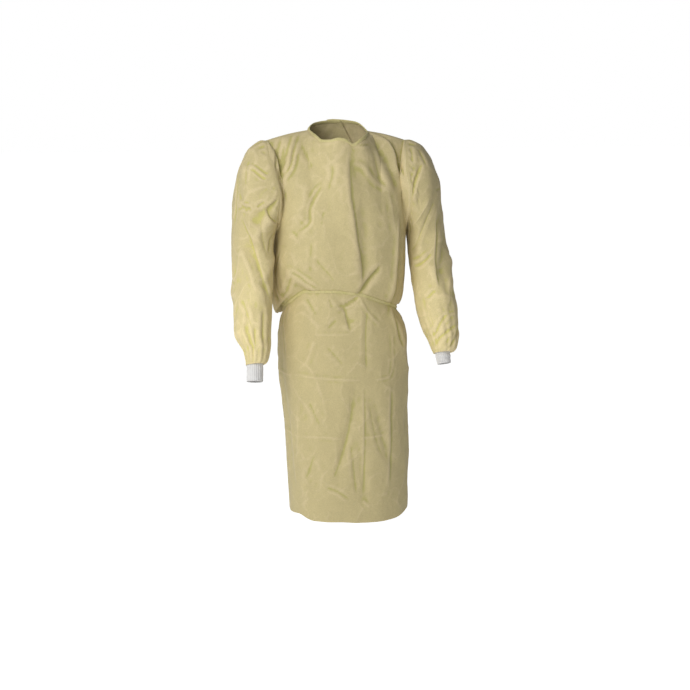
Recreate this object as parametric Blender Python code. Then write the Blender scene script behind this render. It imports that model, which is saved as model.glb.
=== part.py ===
"""Isolation gown, hollow and hanging as worn, in metres with +Z up.

The wearer would face -Y. The origin is the middle of the shoulder line, where the gown is
held up. Left and right are the wearer's: the left side is at +X.
Every cloth piece is a thin closed wall round a grid of points. The body is one closed grid of
columns, from the hem up to the neck edge, the shoulder seams and the armholes. It is cut there
and at the side seams into the front and the two back panels, which lap at the back.
"""

from collections import namedtuple

import bmesh
import bpy
import numpy as np

CLOTH = 0.0012
TAPE = 0.0010
GAP = 0.0003
TURN = 360.0

YELLOW = (0.62, 0.55, 0.26)
TAPE_YELLOW = (0.68, 0.62, 0.28)
KNIT_WHITE = (0.85, 0.83, 0.80)
CLOTH_ROUGHNESS = 0.8
SHARP_ANGLE = 60

# The body from the hem up to the chest. Heights are at the centre front.
# follows_tie says how far a section drops with the tie at the sides and back,
# and droops how much of the loose cloth hangs over the tie there.
Section = namedtuple(
    "Section",
    "name height follows_tie droops centre_x half_width front_depth back_depth rows_above",
)
BODY = (
    Section("hem", -1.106, 0.0, 0.0, 0.023, 0.178, 0.135, 0.128, 2),
    Section("low skirt", -0.960, 0.0, 0.0, 0.019, 0.180, 0.137, 0.130, 2),
    Section("mid skirt", -0.800, 0.0, 0.0, 0.012, 0.183, 0.140, 0.136, 2),
    Section("hip", -0.665, 0.15, 0.0, 0.006, 0.189, 0.143, 0.142, 2),
    Section("below waist", -0.545, 0.60, 0.0, 0.005, 0.187, 0.138, 0.139, 2),
    Section("under tie", -0.475, 0.95, 0.0, 0.001, 0.177, 0.130, 0.130, 1),
    Section("tie bottom", -0.4445, 1.0, 0.0, -0.003, 0.165, 0.124, 0.123, 1),
    Section("tie top", -0.4355, 1.0, 0.0, -0.003, 0.165, 0.124, 0.123, 1),
    Section("over tie", -0.4300, 1.0, 0.0, -0.004, 0.169, 0.1250, 0.129, 1),
    Section("overhang", -0.4200, 1.0, 1.0, -0.006, 0.175, 0.1265, 0.136, 1),
    Section("blouse", -0.3950, 0.9, 0.75, -0.007, 0.185, 0.1315, 0.150, 2),
    Section("ribs", -0.3500, 0.4, 0.15, -0.006, 0.191, 0.137, 0.147, 1),
    Section("chest", -0.3050, 0.0, 0.0, -0.003, 0.189, 0.139, 0.134, 0),
)
TIE_BOTTOM_ROW = sum(section.rows_above for section in BODY[:6])
BODY_ROUNDNESS = 2.2

# What changes round the body, by angle from the front: the tie's height, how far the blouse
# hangs over the tie, and how far the hem dips.
Around = namedtuple("Around", "angle tie_height droop hem_dip")
WAIST = (
    Around(-180, -0.515, 0.020, 0.000),
    Around(-120, -0.506, 0.034, 0.004),
    Around(-98, -0.498, 0.028, 0.000),
    Around(-78, -0.478, 0.008, -0.004),
    Around(-62, -0.456, 0.002, -0.010),
    Around(-42, -0.431, 0.000, 0.002),
    Around(-16, -0.430, 0.000, 0.002),
    Around(8, -0.440, 0.000, 0.008),
    Around(38, -0.469, 0.000, 0.011),
    Around(70, -0.493, 0.003, 0.000),
    Around(100, -0.505, 0.014, -0.003),
    Around(140, -0.513, 0.022, 0.004),
    Around(180, -0.515, 0.020, 0.000),
)
HEM_DIP_FADE = 0.20
DROOP_SWELL = 0.32
TIE_FRONT = -0.440

# One half of the body, from the centre front round to the centre back: the edge that each
# run of columns climbs to, its angles at the chest, and its places along that edge.
Run = namedtuple("Run", "edge first_angle last_angle first_place last_place columns")
HALF = (
    Run("neckline", 0, 26, 0, 90, 6),
    Run("shoulder", 26, 56, 0, 1, 4),
    Run("armhole", 56, 92, 0, 180, 7),
    Run("armhole", 92, 124, 180, 360, 7),
    Run("shoulder", 124, 154, 1, 0, 4),
    Run("neckline", 154, 180, 90, 180, 4),
)
NECK_POINT, TIP, UNDERARM, BACK_TIP, BACK_NECK_POINT, NAPE = 6, 10, 17, 24, 28, 32
AROUND = 2 * NAPE
TOP_ROWS = 8

# The neck edge, by turn from the front towards the wearer's left.
Place = namedtuple("Place", "turn x y z")
NECK = (
    Place(-180, -0.008, 0.062, 0.034),
    Place(-135, -0.068, 0.042, 0.027),
    Place(-90, -0.0886, 0.000, 0.010),
    Place(-68, -0.075, -0.035, -0.006),
    Place(-50, -0.064, -0.060, -0.016),
    Place(-32, -0.046, -0.081, -0.015),
    Place(-16, -0.026, -0.089, -0.010),
    Place(-2, -0.006, -0.091, -0.013),
    Place(12, 0.014, -0.092, -0.026),
    Place(28, 0.034, -0.085, -0.015),
    Place(58, 0.059, -0.050, -0.003),
    Place(90, 0.0736, 0.000, 0.006),
    Place(135, 0.054, 0.042, 0.026),
)
# The armholes, by turn from the shoulder down the front, through the underarm, up the back.
ARMHOLE_RIGHT = (
    Place(0, -0.212, 0.005, -0.019),
    Place(35, -0.212, -0.046, -0.050),
    Place(70, -0.201, -0.074, -0.102),
    Place(105, -0.188, -0.085, -0.165),
    Place(140, -0.190, -0.066, -0.228),
    Place(180, -0.192, 0.002, -0.268),
    Place(225, -0.188, 0.074, -0.215),
    Place(270, -0.190, 0.090, -0.140),
    Place(315, -0.206, 0.062, -0.060),
)
ARMHOLE_LEFT = (
    Place(0, 0.186, 0.006, -0.020),
    Place(35, 0.178, -0.044, -0.046),
    Place(70, 0.172, -0.072, -0.095),
    Place(105, 0.181, -0.085, -0.155),
    Place(140, 0.186, -0.066, -0.222),
    Place(180, 0.190, 0.002, -0.264),
    Place(225, 0.188, 0.074, -0.212),
    Place(270, 0.189, 0.090, -0.140),
    Place(315, 0.190, 0.062, -0.060),
)
SHOULDER_CROWN = 0.003
# How the columns arrive at their edges: the lean over the shoulder at its two ends, the way
# up the neck, the swell round the armhole, and how straight they run before they arrive.
NECK_LEAN = 0.6
TIP_LEAN = 0.45
SHOULDER_RISE = 0.10
NECK_RISE = 0.4
NECK_INWARD, NECK_UPWARD = 0.45, 0.85
TIP_TURN = 75.0
ARRIVAL = 0.65
CURVE_POINTS = 60
ARMHOLE_SPREAD = 0.9
ARMHOLE_SPREAD_END = 165.0
BINDING_DEPTH = 0.008

# The lap: how far each back panel passes the centre back, in columns, and the room between.
LAP_COLUMNS = 6
LAP_REACH_BODY = 6.0
LAP_REACH_NECK = 0.5
LAP_LIFT = 0.005
LAP_LIFT_AT_TIE = 0.0023
LAP_ROWS_NEAR_TIE = 2
LAP_RAMP_START, LAP_RAMP_END = 20, 25
LAP_RAMP_START_AT_NECK, LAP_RAMP_END_AT_NECK = 28, 31

# Sleeves below the arm ring that closes the cap. Toe_in moves the front of a ring inwards
# and waves is the height of the wrist gathers.
Ring = namedtuple(
    "Ring",
    "name height centre_x centre_y half_width half_depth toe_in tilt waves rows_above",
)
ARM_RIGHT = (
    Ring("arm ring", -0.320, -0.257, -0.010, 0.054, 0.076, 0.012, 4, 0.0, 2),
    Ring("elbow", -0.400, -0.261, -0.030, 0.053, 0.074, 0.013, 14, 0.0, 2),
    Ring("forearm", -0.475, -0.266, -0.066, 0.052, 0.066, 0.006, 24, 0.0006, 2),
    Ring("low forearm", -0.540, -0.271, -0.103, 0.051, 0.056, 0.0, 26, 0.0022, 2),
    Ring("gathers", -0.586, -0.264, -0.128, 0.036, 0.042, 0.0, 24, 0.0032, 1),
    Ring("droop", -0.614, -0.267, -0.141, 0.030, 0.033, 0.0, 22, 0.0020, 1),
    Ring("tuck", -0.621, -0.271, -0.144, 0.0268, 0.028, 0.0, 21, 0.0010, 1),
    Ring("cuff seam", -0.615, -0.272, -0.1416, 0.0233, 0.0233, 0.0, 21, 0.0, 0),
)
ARM_LEFT = (
    Ring("arm ring", -0.320, 0.2545, -0.006, 0.0585, 0.077, 0.016, 4, 0.0, 2),
    Ring("elbow", -0.385, 0.2600, -0.026, 0.0605, 0.074, 0.014, 14, 0.0, 2),
    Ring("forearm", -0.452, 0.2630, -0.056, 0.0600, 0.068, 0.004, 24, 0.0008, 2),
    Ring("low forearm", -0.530, 0.2680, -0.096, 0.0540, 0.058, 0.0, 26, 0.0026, 2),
    Ring("gathers", -0.582, 0.2740, -0.124, 0.0405, 0.045, 0.0, 24, 0.0036, 1),
    Ring("droop", -0.607, 0.2735, -0.136, 0.0335, 0.036, 0.0, 22, 0.0022, 1),
    Ring("tuck", -0.614, 0.2690, -0.139, 0.0275, 0.029, 0.0, 21, 0.0010, 1),
    Ring("cuff seam", -0.608, 0.2670, -0.1366, 0.0230, 0.0230, 0.0, 21, 0.0, 0),
)
SLEEVE_COLUMNS = 28
CAP_ROWS = 9
CAP_FULLNESS = {1: 1.05, -1: 0.90}
CAP_LANDING = 0.95
# The way that the cap leaves the armhole: out at the underarm and at the shoulder, ahead at
# the front, and down at the underarm.
CAP_OUT_UNDER, CAP_OUT_OVER, CAP_AHEAD, CAP_DOWN = 0.4, 1.0, 0.35, 0.95

# Cuffs, by distance below the sleeve's seam, with the radius of the middle of the knit.
Band = namedtuple("Band", "below radius")
CUFF_RIGHT = (
    Band(-0.010, 0.0208),
    Band(0.004, 0.0212),
    Band(0.018, 0.0215),
    Band(0.034, 0.0217),
    Band(0.054, 0.0214),
)
CUFF_LEFT = (
    Band(-0.010, 0.0208),
    Band(0.006, 0.0206),
    Band(0.012, 0.0190),
    Band(0.017, 0.0204),
    Band(0.024, 0.0188),
    Band(0.038, 0.0184),
)
CUFF_LEAN = {"cuff_right": -0.08, "cuff_left": 0.05}
CUFF_RIBS = 24
RIB_HEIGHT = 0.0006

# Folds on the body, in angle from the front and height; a height below zero is a trough.
Fold = namedtuple("Fold", "first_turn first_height last_turn last_height width rise")
BODY_FOLDS = (
    Fold(-3, -0.050, 6, -0.415, 0.020, 0.0070),
    Fold(4, -0.045, 14, -0.410, 0.017, -0.0065),
    Fold(18, -0.040, 37, -0.160, 0.018, 0.0050),
    Fold(27, -0.030, 49, -0.150, 0.016, -0.0050),
    Fold(-20, -0.120, -36, -0.240, 0.016, -0.0045),
    Fold(-38, -0.235, -50, -0.275, 0.014, -0.0035),
    Fold(-46, -0.030, -62, -0.130, 0.014, -0.0060),
    Fold(-37, -0.020, -58, -0.150, 0.014, 0.0050),
    Fold(-58, -0.375, -30, -0.418, 0.015, 0.0060),
    Fold(50, -0.240, 46, -0.465, 0.015, 0.0075),
    Fold(57, -0.240, 53, -0.465, 0.014, -0.0060),
    Fold(44, -0.500, 60, -0.610, 0.016, 0.0070),
    Fold(8, -0.445, 24, -0.365, 0.011, -0.0060),
    Fold(7, -0.450, -8, -0.475, 0.011, -0.0050),
    Fold(-8, -0.478, -2, -0.520, 0.012, -0.0040),
    Fold(3, -0.720, -18, -1.000, 0.016, -0.0050),
    Fold(0, -0.850, 6, -1.060, 0.014, -0.0045),
    Fold(13, -0.730, 32, -0.950, 0.016, -0.0045),
    Fold(-62, -0.640, -52, -1.105, 0.024, 0.0050),
    Fold(-82, -0.560, -76, -1.000, 0.022, -0.0050),
    Fold(72, -0.620, 66, -1.105, 0.024, 0.0050),
    Fold(112, -0.540, 118, -1.105, 0.024, 0.0080),
    Fold(134, -0.540, 138, -0.980, 0.022, -0.0065),
    Fold(158, -0.540, 160, -1.105, 0.024, 0.0070),
    Fold(-116, -0.550, -120, -1.105, 0.024, 0.0075),
    Fold(-140, -0.540, -144, -0.960, 0.022, -0.0065),
    Fold(-164, -0.560, -166, -1.105, 0.022, 0.0060),
    Fold(128, -0.180, 142, -0.420, 0.020, 0.0065),
    Fold(-128, -0.180, -140, -0.420, 0.020, 0.0060),
    Fold(166, -0.120, 174, -0.420, 0.018, -0.0055),
    Fold(-162, -0.140, -170, -0.400, 0.018, 0.0055),
)
# Folds on the sleeves, in turn from the outside round the front, and height.
SLEEVE_FOLDS_RIGHT = (
    Fold(20, -0.080, 70, -0.200, 0.020, 0.0060),
    Fold(52, -0.060, 96, -0.150, 0.018, -0.0060),
    Fold(110, -0.220, 70, -0.290, 0.020, 0.0065),
    Fold(96, -0.190, 70, -0.240, 0.016, -0.0050),
    Fold(30, -0.300, 100, -0.450, 0.020, 0.0070),
    Fold(55, -0.290, 125, -0.420, 0.018, -0.0055),
    Fold(150, -0.330, 90, -0.400, 0.018, 0.0055),
    Fold(62, -0.500, 66, -0.590, 0.014, -0.0040),
    Fold(-40, -0.120, -90, -0.260, 0.022, 0.0060),
    Fold(-120, -0.280, -70, -0.400, 0.022, 0.0065),
    Fold(-60, -0.300, -110, -0.420, 0.020, -0.0055),
    Fold(-20, -0.420, -80, -0.520, 0.020, 0.0050),
)
SLEEVE_FOLDS_LEFT = (
    Fold(30, -0.060, 88, -0.220, 0.020, 0.0070),
    Fold(54, -0.060, 112, -0.200, 0.018, -0.0070),
    Fold(10, -0.120, 64, -0.240, 0.018, 0.0050),
    Fold(40, -0.250, 100, -0.420, 0.020, 0.0065),
    Fold(20, -0.280, 84, -0.400, 0.018, -0.0055),
    Fold(0, -0.330, 60, -0.440, 0.018, 0.0050),
    Fold(120, -0.300, 80, -0.480, 0.020, 0.0055),
    Fold(10, -0.450, 50, -0.450, 0.016, -0.0040),
    Fold(-40, -0.120, -96, -0.260, 0.022, 0.0060),
    Fold(-120, -0.280, -64, -0.400, 0.022, 0.0065),
    Fold(-60, -0.300, -110, -0.430, 0.020, -0.0055),
    Fold(-20, -0.420, -80, -0.520, 0.020, 0.0050),
)
# Metres along the cloth for one radian of turn, and how soon a fold fades in and out along
# its length, as shares of the length.
BODY_ARC = 0.165
SLEEVE_ARC = 0.066
FADE_START, FADE_END = -0.12, 0.18

# The small gathers that the tie makes at the sides and back, on every other column.
GATHER_RISE = 0.0022
GATHER_CLEAR, GATHER_AT_FULL, GATHER_FADES, GATHER_REACH = 0.004, 0.025, 0.030, 0.085
GATHER_START, GATHER_FULL = 50.0, 85.0

KNOT_HALF_GAP = 0.010


def smooth(places, values, at):
    """Read a smooth curve through the values, with no overshoot between their places."""
    places = np.asarray(places, float)
    values = np.asarray(values, float)
    at = np.atleast_1d(np.asarray(at, float))
    step = np.diff(places)[:, None]
    rise = np.diff(values, axis=0) / step
    before, after = rise[:-1], rise[1:]
    both = before + after
    level = (before * after <= 0) | (both == 0)
    slope = np.zeros_like(values)
    slope[1:-1] = np.where(level, 0.0, 2 * before * after / np.where(level, 1.0, both))
    slope[0], slope[-1] = rise[0], rise[-1]
    i = np.clip(np.searchsorted(places, at, side="right") - 1, 0, len(step) - 1)
    t = ((at - places[i]) / step[i, 0])[:, None]
    return hermite(values[i], slope[i] * step[i], values[i + 1], slope[i + 1] * step[i], t)


def hermite(start, leaving, end, arriving, t):
    """The cubic between two points with the given tangents."""
    a = (1 + 2 * t) * (1 - t) ** 2
    b = t * (1 - t) ** 2
    c = t**2 * (3 - 2 * t)
    d = t**2 * (t - 1)
    return a * start + b * leaving + c * end + d * arriving


def ramp(value, start, end):
    """A soft step from 0 at start to 1 at end."""
    t = np.clip((value - start) / (end - start), 0.0, 1.0)
    return t * t * (3 - 2 * t)


def unit(vectors):
    """The same directions, one metre long."""
    return vectors / np.linalg.norm(vectors, axis=-1, keepdims=True)


def around(table, turn):
    """A point of a closed curve that a table of places describes."""
    rows = np.array(table)
    laps = np.concatenate([rows - [TURN, 0, 0, 0], rows, rows + [TURN, 0, 0, 0]])
    return smooth(laps[:, 0], laps[:, 1:], turn)[0]


def edge_point(side, edge, place):
    """A point of the neck edge, a shoulder seam or an armhole."""
    if edge == "neckline":
        return around(NECK, side * place)
    armhole = ARMHOLE_LEFT if side > 0 else ARMHOLE_RIGHT
    if edge == "armhole":
        return around(armhole, place)
    neck_point = around(NECK, side * 90)
    tip = around(armhole, 0)
    crown = SHOULDER_CROWN * np.sin(np.pi * place)
    return neck_point + (tip - neck_point) * place + [0, 0, crown]


def over_shoulder(side, angle, place):
    """The way over the shoulder seam, leaning to the neck at one end, to the arm at the other."""
    ahead = 1.0 if angle < 90 else -1.0
    in_lean = NECK_LEAN * (1 - place)
    upward = SHOULDER_RISE + NECK_RISE * in_lean
    return unit(np.array([side * (TIP_LEAN * place - in_lean), ahead, upward]))


def edge_tangent(side, edge, place, angle, rise):
    """The way that a column reaches its edge: over the shoulder, or up the neck."""
    if edge == "shoulder":
        return over_shoulder(side, angle, place)
    if edge == "neckline":
        turn = np.radians(side * place)
        level = np.array([-np.sin(turn), np.cos(turn), 0.0]) * NECK_INWARD
        inward = level + [0.0, 0.0, NECK_UPWARD]
        share = (min(place, 180 - place) / 90) ** 2
        return unit(inward + (over_shoulder(side, angle, 0) - inward) * share)
    from_tip = min(place, TURN - place)
    over = over_shoulder(side, angle, 1)
    outward = ARMHOLE_SPREAD * np.sin(np.pi * min(from_tip / ARMHOLE_SPREAD_END, 1))
    return unit(over + (rise - over) * ramp(from_tip, 0, TIP_TURN) + [side * outward, 0, 0])


def half_columns(side):
    """Each column of one half: its angle at the chest, its edge and its place on the edge."""
    columns = []
    for run in HALF:
        for k in range(run.columns):
            t = k / run.columns
            angle = run.first_angle + (run.last_angle - run.first_angle) * t
            place = run.first_place + (run.last_place - run.first_place) * t
            columns.append((side, angle, run.edge, place))
    last = HALF[-1]
    columns.append((side, last.last_angle, last.edge, last.last_place))
    return columns


def body_columns():
    """All columns of the body, from the centre front round by the wearer's left."""
    left = half_columns(1)
    right = half_columns(-1)
    return left + right[-2:0:-1]


def section_rows(table):
    """Where each row of a grid lies between the rows of a table."""
    rows = []
    for index, row in enumerate(table):
        steps = max(row.rows_above, 1)
        rows += [index + k / steps for k in range(steps)]
    return rows[: rows.index(len(table) - 1) + 1]


def lower_column(side, angle):
    """One column of the body from the hem to the chest."""
    numbers = np.array([section[1:-1] for section in BODY])
    rows = smooth(range(len(BODY)), numbers, section_rows(BODY))
    height, follows, droops, centre_x, half_width, front_depth, back_depth = rows.T
    waist = np.array(WAIST)
    tie_height, droop, hem_dip = smooth(waist[:, 0], waist[:, 1:], side * angle)[0]
    swell = droops * droop * DROOP_SWELL
    dip = hem_dip * ramp(-height, -BODY[0].height - HEM_DIP_FADE, -BODY[0].height)
    turn = np.radians(side * angle)
    power = 2 / BODY_ROUNDNESS
    across = np.sign(np.sin(turn)) * abs(np.sin(turn)) ** power
    ahead = np.sign(np.cos(turn)) * abs(np.cos(turn)) ** power
    depth = front_depth if ahead > 0 else back_depth
    x = centre_x + (half_width + swell) * across
    z = height + follows * (tie_height - TIE_FRONT) - droops * droop - dip
    return np.stack([x, -(depth + swell) * ahead, z], axis=1)


def upper_column(side, angle, edge, place, start):
    """One column from the chest to its edge, with the last row as far in as the binding."""
    end = edge_point(side, edge, place)
    span = np.linalg.norm(end - start)
    arrive = edge_tangent(side, edge, place, angle, (end - start) / span)
    t = np.linspace(0, 1, CURVE_POINTS)[:, None]
    curve = hermite(start, np.array([0, 0, 1.0]) * span, end, arrive * ARRIVAL * span, t)
    along = np.concatenate([[0], np.cumsum(np.linalg.norm(np.diff(curve, axis=0), axis=1))])
    stops = np.append(np.linspace(0, along[-1] - BINDING_DEPTH, TOP_ROWS + 1)[1:], along[-1])
    return np.stack([np.interp(stops, along, curve[:, k]) for k in range(3)], axis=1)


def grid_normals(points, closed):
    """The outward direction at each point of a grid whose columns climb and run left."""
    if closed:
        across = np.roll(points, -1, axis=1) - np.roll(points, 1, axis=1)
    else:
        across = np.gradient(points, axis=1)
    return unit(np.cross(across, np.gradient(points, axis=0)))


def fold_rise(folds, turn, height, arc):
    """How far the folds move the cloth out at a turn and a height."""
    rise = np.zeros_like(height)
    for fold in folds:
        run = (fold.last_turn - fold.first_turn) * np.radians(1) * arc
        fall = fold.last_height - fold.first_height
        length = np.hypot(run, fall)
        offset = (turn - fold.first_turn + TURN / 2) % TURN - TURN / 2
        side = np.radians(offset) * arc
        up = height - fold.first_height
        along = (side * run + up * fall) / length**2
        away = (side * fall - up * run) / length
        fade = ramp(along, FADE_START, FADE_END) * ramp(1 - along, FADE_START, FADE_END)
        rise += fold.rise * np.exp(-((away / fold.width) ** 2)) * fade
    return rise


def tie_gathers(angles, heights):
    """Small gathers above and below the tie, on every other column away from the front."""
    other = np.where(np.arange(AROUND) % 2 == 0, 1.0, -1.0)
    signed = (angles + TURN / 2) % TURN - TURN / 2
    waist = np.array(WAIST)
    tie = smooth(waist[:, 0], waist[:, 1:], signed)[:, 0]
    away = abs(heights - tie)
    near = ramp(away, GATHER_CLEAR, GATHER_AT_FULL)
    near *= ramp(-away, -GATHER_REACH, -GATHER_FADES)
    return other * near * GATHER_RISE * ramp(abs(signed), GATHER_START, GATHER_FULL)


def body_grid():
    """The whole body as one closed grid: rows climb, columns run round by the left."""
    columns = body_columns()
    grid = []
    for side, angle, edge, place in columns:
        lower = lower_column(side, angle)
        grid.append(np.concatenate([lower, upper_column(side, angle, edge, place, lower[-1])]))
    points = np.stack(grid, axis=1)
    angles = np.array([side * angle for side, angle, _, _ in columns])
    turns = np.broadcast_to(angles, points.shape[:2])
    heights = points[..., 2]
    rise = fold_rise(BODY_FOLDS, turns, heights, BODY_ARC) + tie_gathers(angles, heights)
    rise *= 1 - ramp(np.arange(len(points)), len(points) - 4, len(points) - 2)[:, None]
    return points + grid_normals(points, True) * rise[..., None]


def closing(rows):
    """How far each row is on the way from the full lap to the narrow lap at the neck."""
    return ramp(np.arange(rows), rows - TOP_ROWS - 2, rows - 1)


def lap_reach(rows):
    """How many columns past the centre back a panel reaches, row by row."""
    return LAP_REACH_BODY + (LAP_REACH_NECK - LAP_REACH_BODY) * closing(rows)


def lap_lift(rows, column):
    """How far the outer panel lies over the inner one at a column, row by row."""
    away = abs(np.arange(rows) - (TIE_BOTTOM_ROW + 0.5)) - 0.5
    near = 1 - ramp(away, LAP_ROWS_NEAR_TIE, LAP_ROWS_NEAR_TIE + 2)
    full = LAP_LIFT + (LAP_LIFT_AT_TIE - LAP_LIFT) * near
    start = LAP_RAMP_START + (LAP_RAMP_START_AT_NECK - LAP_RAMP_START) * closing(rows)
    end = LAP_RAMP_END + (LAP_RAMP_END_AT_NECK - LAP_RAMP_END) * closing(rows)
    return (full * ramp(column, start, end))[:, None]


def at_columns(grid, columns):
    """Read a closed grid at one fractional column for each row."""
    first = np.floor(columns).astype(int)
    share = (columns - first)[:, None]
    rows = np.arange(len(grid))
    return grid[rows, first % AROUND] * (1 - share) + grid[rows, (first + 1) % AROUND] * share


def back_panel(points, normals, side):
    """A back panel: the side seam to the centre back, then the lap over or under the other."""
    reach = lap_reach(len(points))
    found = []
    for k in range(UNDERARM, NAPE + LAP_COLUMNS + 1):
        past = max(0, k - NAPE) / LAP_COLUMNS * reach
        column = side * (min(k, NAPE) + past)
        lift = lap_lift(len(points), k) if side > 0 else 0.0
        normal = unit(at_columns(normals, column))
        found.append((at_columns(points, column) + normal * lift, normal))
    if side < 0:
        found.reverse()
    return np.stack([p for p, _ in found], axis=1), np.stack([n for _, n in found], axis=1)


def seam_frame(seam, tangent, here, there, outward):
    """The way across a seam into its first piece, and the wall direction that both share."""
    along = unit(tangent)
    sides = []
    for inner in (here, there):
        way = inner - seam
        sides.append(unit(way - along * np.sum(way * along, axis=-1, keepdims=True)))
    across = unit(sides[0] - sides[1])
    normal = np.cross(along, across)
    sign = np.sign(np.sum(normal * outward, axis=-1, keepdims=True))
    return across, normal * sign


def armhole_loop(side):
    """The body's columns round one armhole, from the shoulder down the front."""
    return [side * k % AROUND for k in range(TIP, BACK_TIP)]


def with_midpoints(loop):
    """A closed loop with the middle of each stretch added."""
    middle = (loop + np.roll(loop, -1, axis=0)) / 2
    return np.stack([loop, middle], axis=1).reshape(-1, 3)


def sleeve_grid(armhole, side):
    """A sleeve: the cap from the armhole to the arm ring, then the rings to the cuff."""
    table = ARM_LEFT if side > 0 else ARM_RIGHT
    numbers = np.array([ring[1:-1] for ring in table])
    rows = smooth(range(len(table)), numbers, section_rows(table))
    turn = np.linspace(0, 2 * np.pi, SLEEVE_COLUMNS, endpoint=False)
    other = np.where(np.arange(SLEEVE_COLUMNS) % 2 == 0, 1.0, -1.0)
    rings = []
    for height, centre_x, centre_y, half_width, half_depth, toe_in, tilt, waves in rows:
        lean = np.radians(tilt)
        across = side * ((half_width + waves * other) * np.cos(turn) - toe_in * np.sin(turn))
        ahead = (half_depth + waves * other) * np.sin(turn)
        x = centre_x + across
        y = centre_y - ahead * np.cos(lean)
        z = height + ahead * np.sin(lean)
        rings.append(np.stack([x, y, z], axis=1))
    rings = np.stack(rings)
    arm_ring = rings[0]
    span = np.linalg.norm(arm_ring - armhole, axis=1, keepdims=True)
    over = np.cos(turn / 2) ** 2
    out = side * (CAP_OUT_UNDER + (CAP_OUT_OVER - CAP_OUT_UNDER) * over)
    leave = np.stack([out, -CAP_AHEAD * np.sin(turn), -CAP_DOWN * (1 - over)], axis=1)
    down = unit(rings[1] - rings[0])
    cap = []
    for k in range(CAP_ROWS):
        t = k / CAP_ROWS
        leaving, arriving = leave * span * CAP_FULLNESS[side], down * span * CAP_LANDING
        cap.append(hermite(armhole, leaving, arm_ring, arriving, t))
    return np.concatenate([np.stack(cap), rings])


def sleeve_with_folds(points, side):
    """The sleeve's grid with its folds, which end before the seams."""
    folds = SLEEVE_FOLDS_LEFT if side > 0 else SLEEVE_FOLDS_RIGHT
    turn = np.linspace(0, TURN, SLEEVE_COLUMNS, endpoint=False)
    rows = len(points)
    rise = fold_rise(folds, np.broadcast_to(turn, points.shape[:2]), points[..., 2], SLEEVE_ARC)
    rise *= (ramp(np.arange(rows), 0, 3) * ramp(-np.arange(rows), 3 - rows, 6 - rows))[:, None]
    return points + sleeve_normals(points, side) * rise[..., None]


def sleeve_normals(points, side):
    """Outward directions on a sleeve, whose rows run down and whose columns run forward."""
    return grid_normals(points, True) * side


def make_object(name, builder, colour, roughness):
    """Put a finished mesh into the scene under its name, with a material of its own."""
    mesh = bpy.data.meshes.new(name)
    bmesh.ops.recalc_face_normals(builder, faces=builder.faces)
    builder.to_mesh(mesh)
    builder.free()
    mesh.shade_smooth()
    mesh.set_sharp_from_angle(angle=np.radians(SHARP_ANGLE))
    material = bpy.data.materials.new(name + "_finish")
    material.use_nodes = True
    shader = material.node_tree.nodes["Principled BSDF"]
    shader.inputs["Base Color"].default_value = (*colour, 1)
    shader.inputs["Roughness"].default_value = roughness
    shader.inputs["Metallic"].default_value = 0
    mesh.materials.append(material)
    found = bpy.data.objects.new(name, mesh)
    bpy.context.collection.objects.link(found)


def add_wall(builder, outer, inner, closed):
    """A closed wall between two grids of points, split the same way on both faces."""
    rows, columns = outer.shape[:2]
    skins = [[[builder.verts.new(p) for p in row] for row in skin] for skin in (outer, inner)]
    spans = columns if closed else columns - 1
    for skin in skins:
        for r in range(rows - 1):
            for c in range(spans):
                d = (c + 1) % columns
                builder.faces.new((skin[r][c], skin[r][d], skin[r + 1][d]))
                builder.faces.new((skin[r][c], skin[r + 1][d], skin[r + 1][c]))
    rims = [[(r, c) for c in range(columns)] for r in (0, rows - 1)]
    if not closed:
        rims += [[(r, c) for r in range(rows)] for c in (0, columns - 1)]
    for rim in rims:
        ends = rim[1:] + rim[:1] if closed else rim[1:]
        for (r, c), (s, d) in zip(rim, ends):
            builder.faces.new((skins[0][r][c], skins[0][s][d], skins[1][s][d]))
            builder.faces.new((skins[0][r][c], skins[1][s][d], skins[1][r][c]))


def make_cloth(name, points, normals, colour, closed=False, raised=0.0):
    """A cloth piece: a wall round its middle surface, with ribs raised on the outside only."""
    builder = bmesh.new()
    half = normals * (CLOTH / 2)
    add_wall(builder, points + half + normals * raised, points - half, closed)
    make_object(name, builder, colour, CLOTH_ROUGHNESS)


def make_strip(name, sections, colour, turned=()):
    """A strip swept through closed sections, capped at both ends. Sides in turned are split
    along their other diagonal."""
    builder = bmesh.new()
    rings = [[builder.verts.new(p) for p in section] for section in sections]
    count = len(rings[0])
    for ring, following in zip(rings, rings[1:]):
        for k in range(count):
            m = (k + 1) % count
            if k in turned:
                builder.faces.new((ring[k], ring[m], following[k]))
                builder.faces.new((ring[m], following[m], following[k]))
            else:
                builder.faces.new((ring[k], ring[m], following[m]))
                builder.faces.new((ring[k], following[m], following[k]))
    builder.faces.new(rings[0])
    builder.faces.new(rings[-1])
    make_object(name, builder, colour, CLOTH_ROUGHNESS)


def join_shoulders(body, normals, steps):
    """Set the walls' direction along the shoulder seams and step the panels apart."""
    top, inner = body[-1], body[-2]
    for side in (1, -1):
        ahead = [side * k % AROUND for k in range(NECK_POINT, TIP + 1)]
        behind = [side * k % AROUND for k in range(BACK_NECK_POINT, BACK_TIP - 1, -1)]
        tangent = np.gradient(top[ahead], axis=0)
        outward = normals[-1][ahead] + normals[-1][behind]
        across, normal = seam_frame(top[ahead], tangent, inner[ahead], inner[behind], outward)
        normals[-1][ahead] = normals[-1][behind] = normal
        steps[ahead] += across * (GAP / 2)
        steps[behind] -= across * (GAP / 2)


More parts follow.
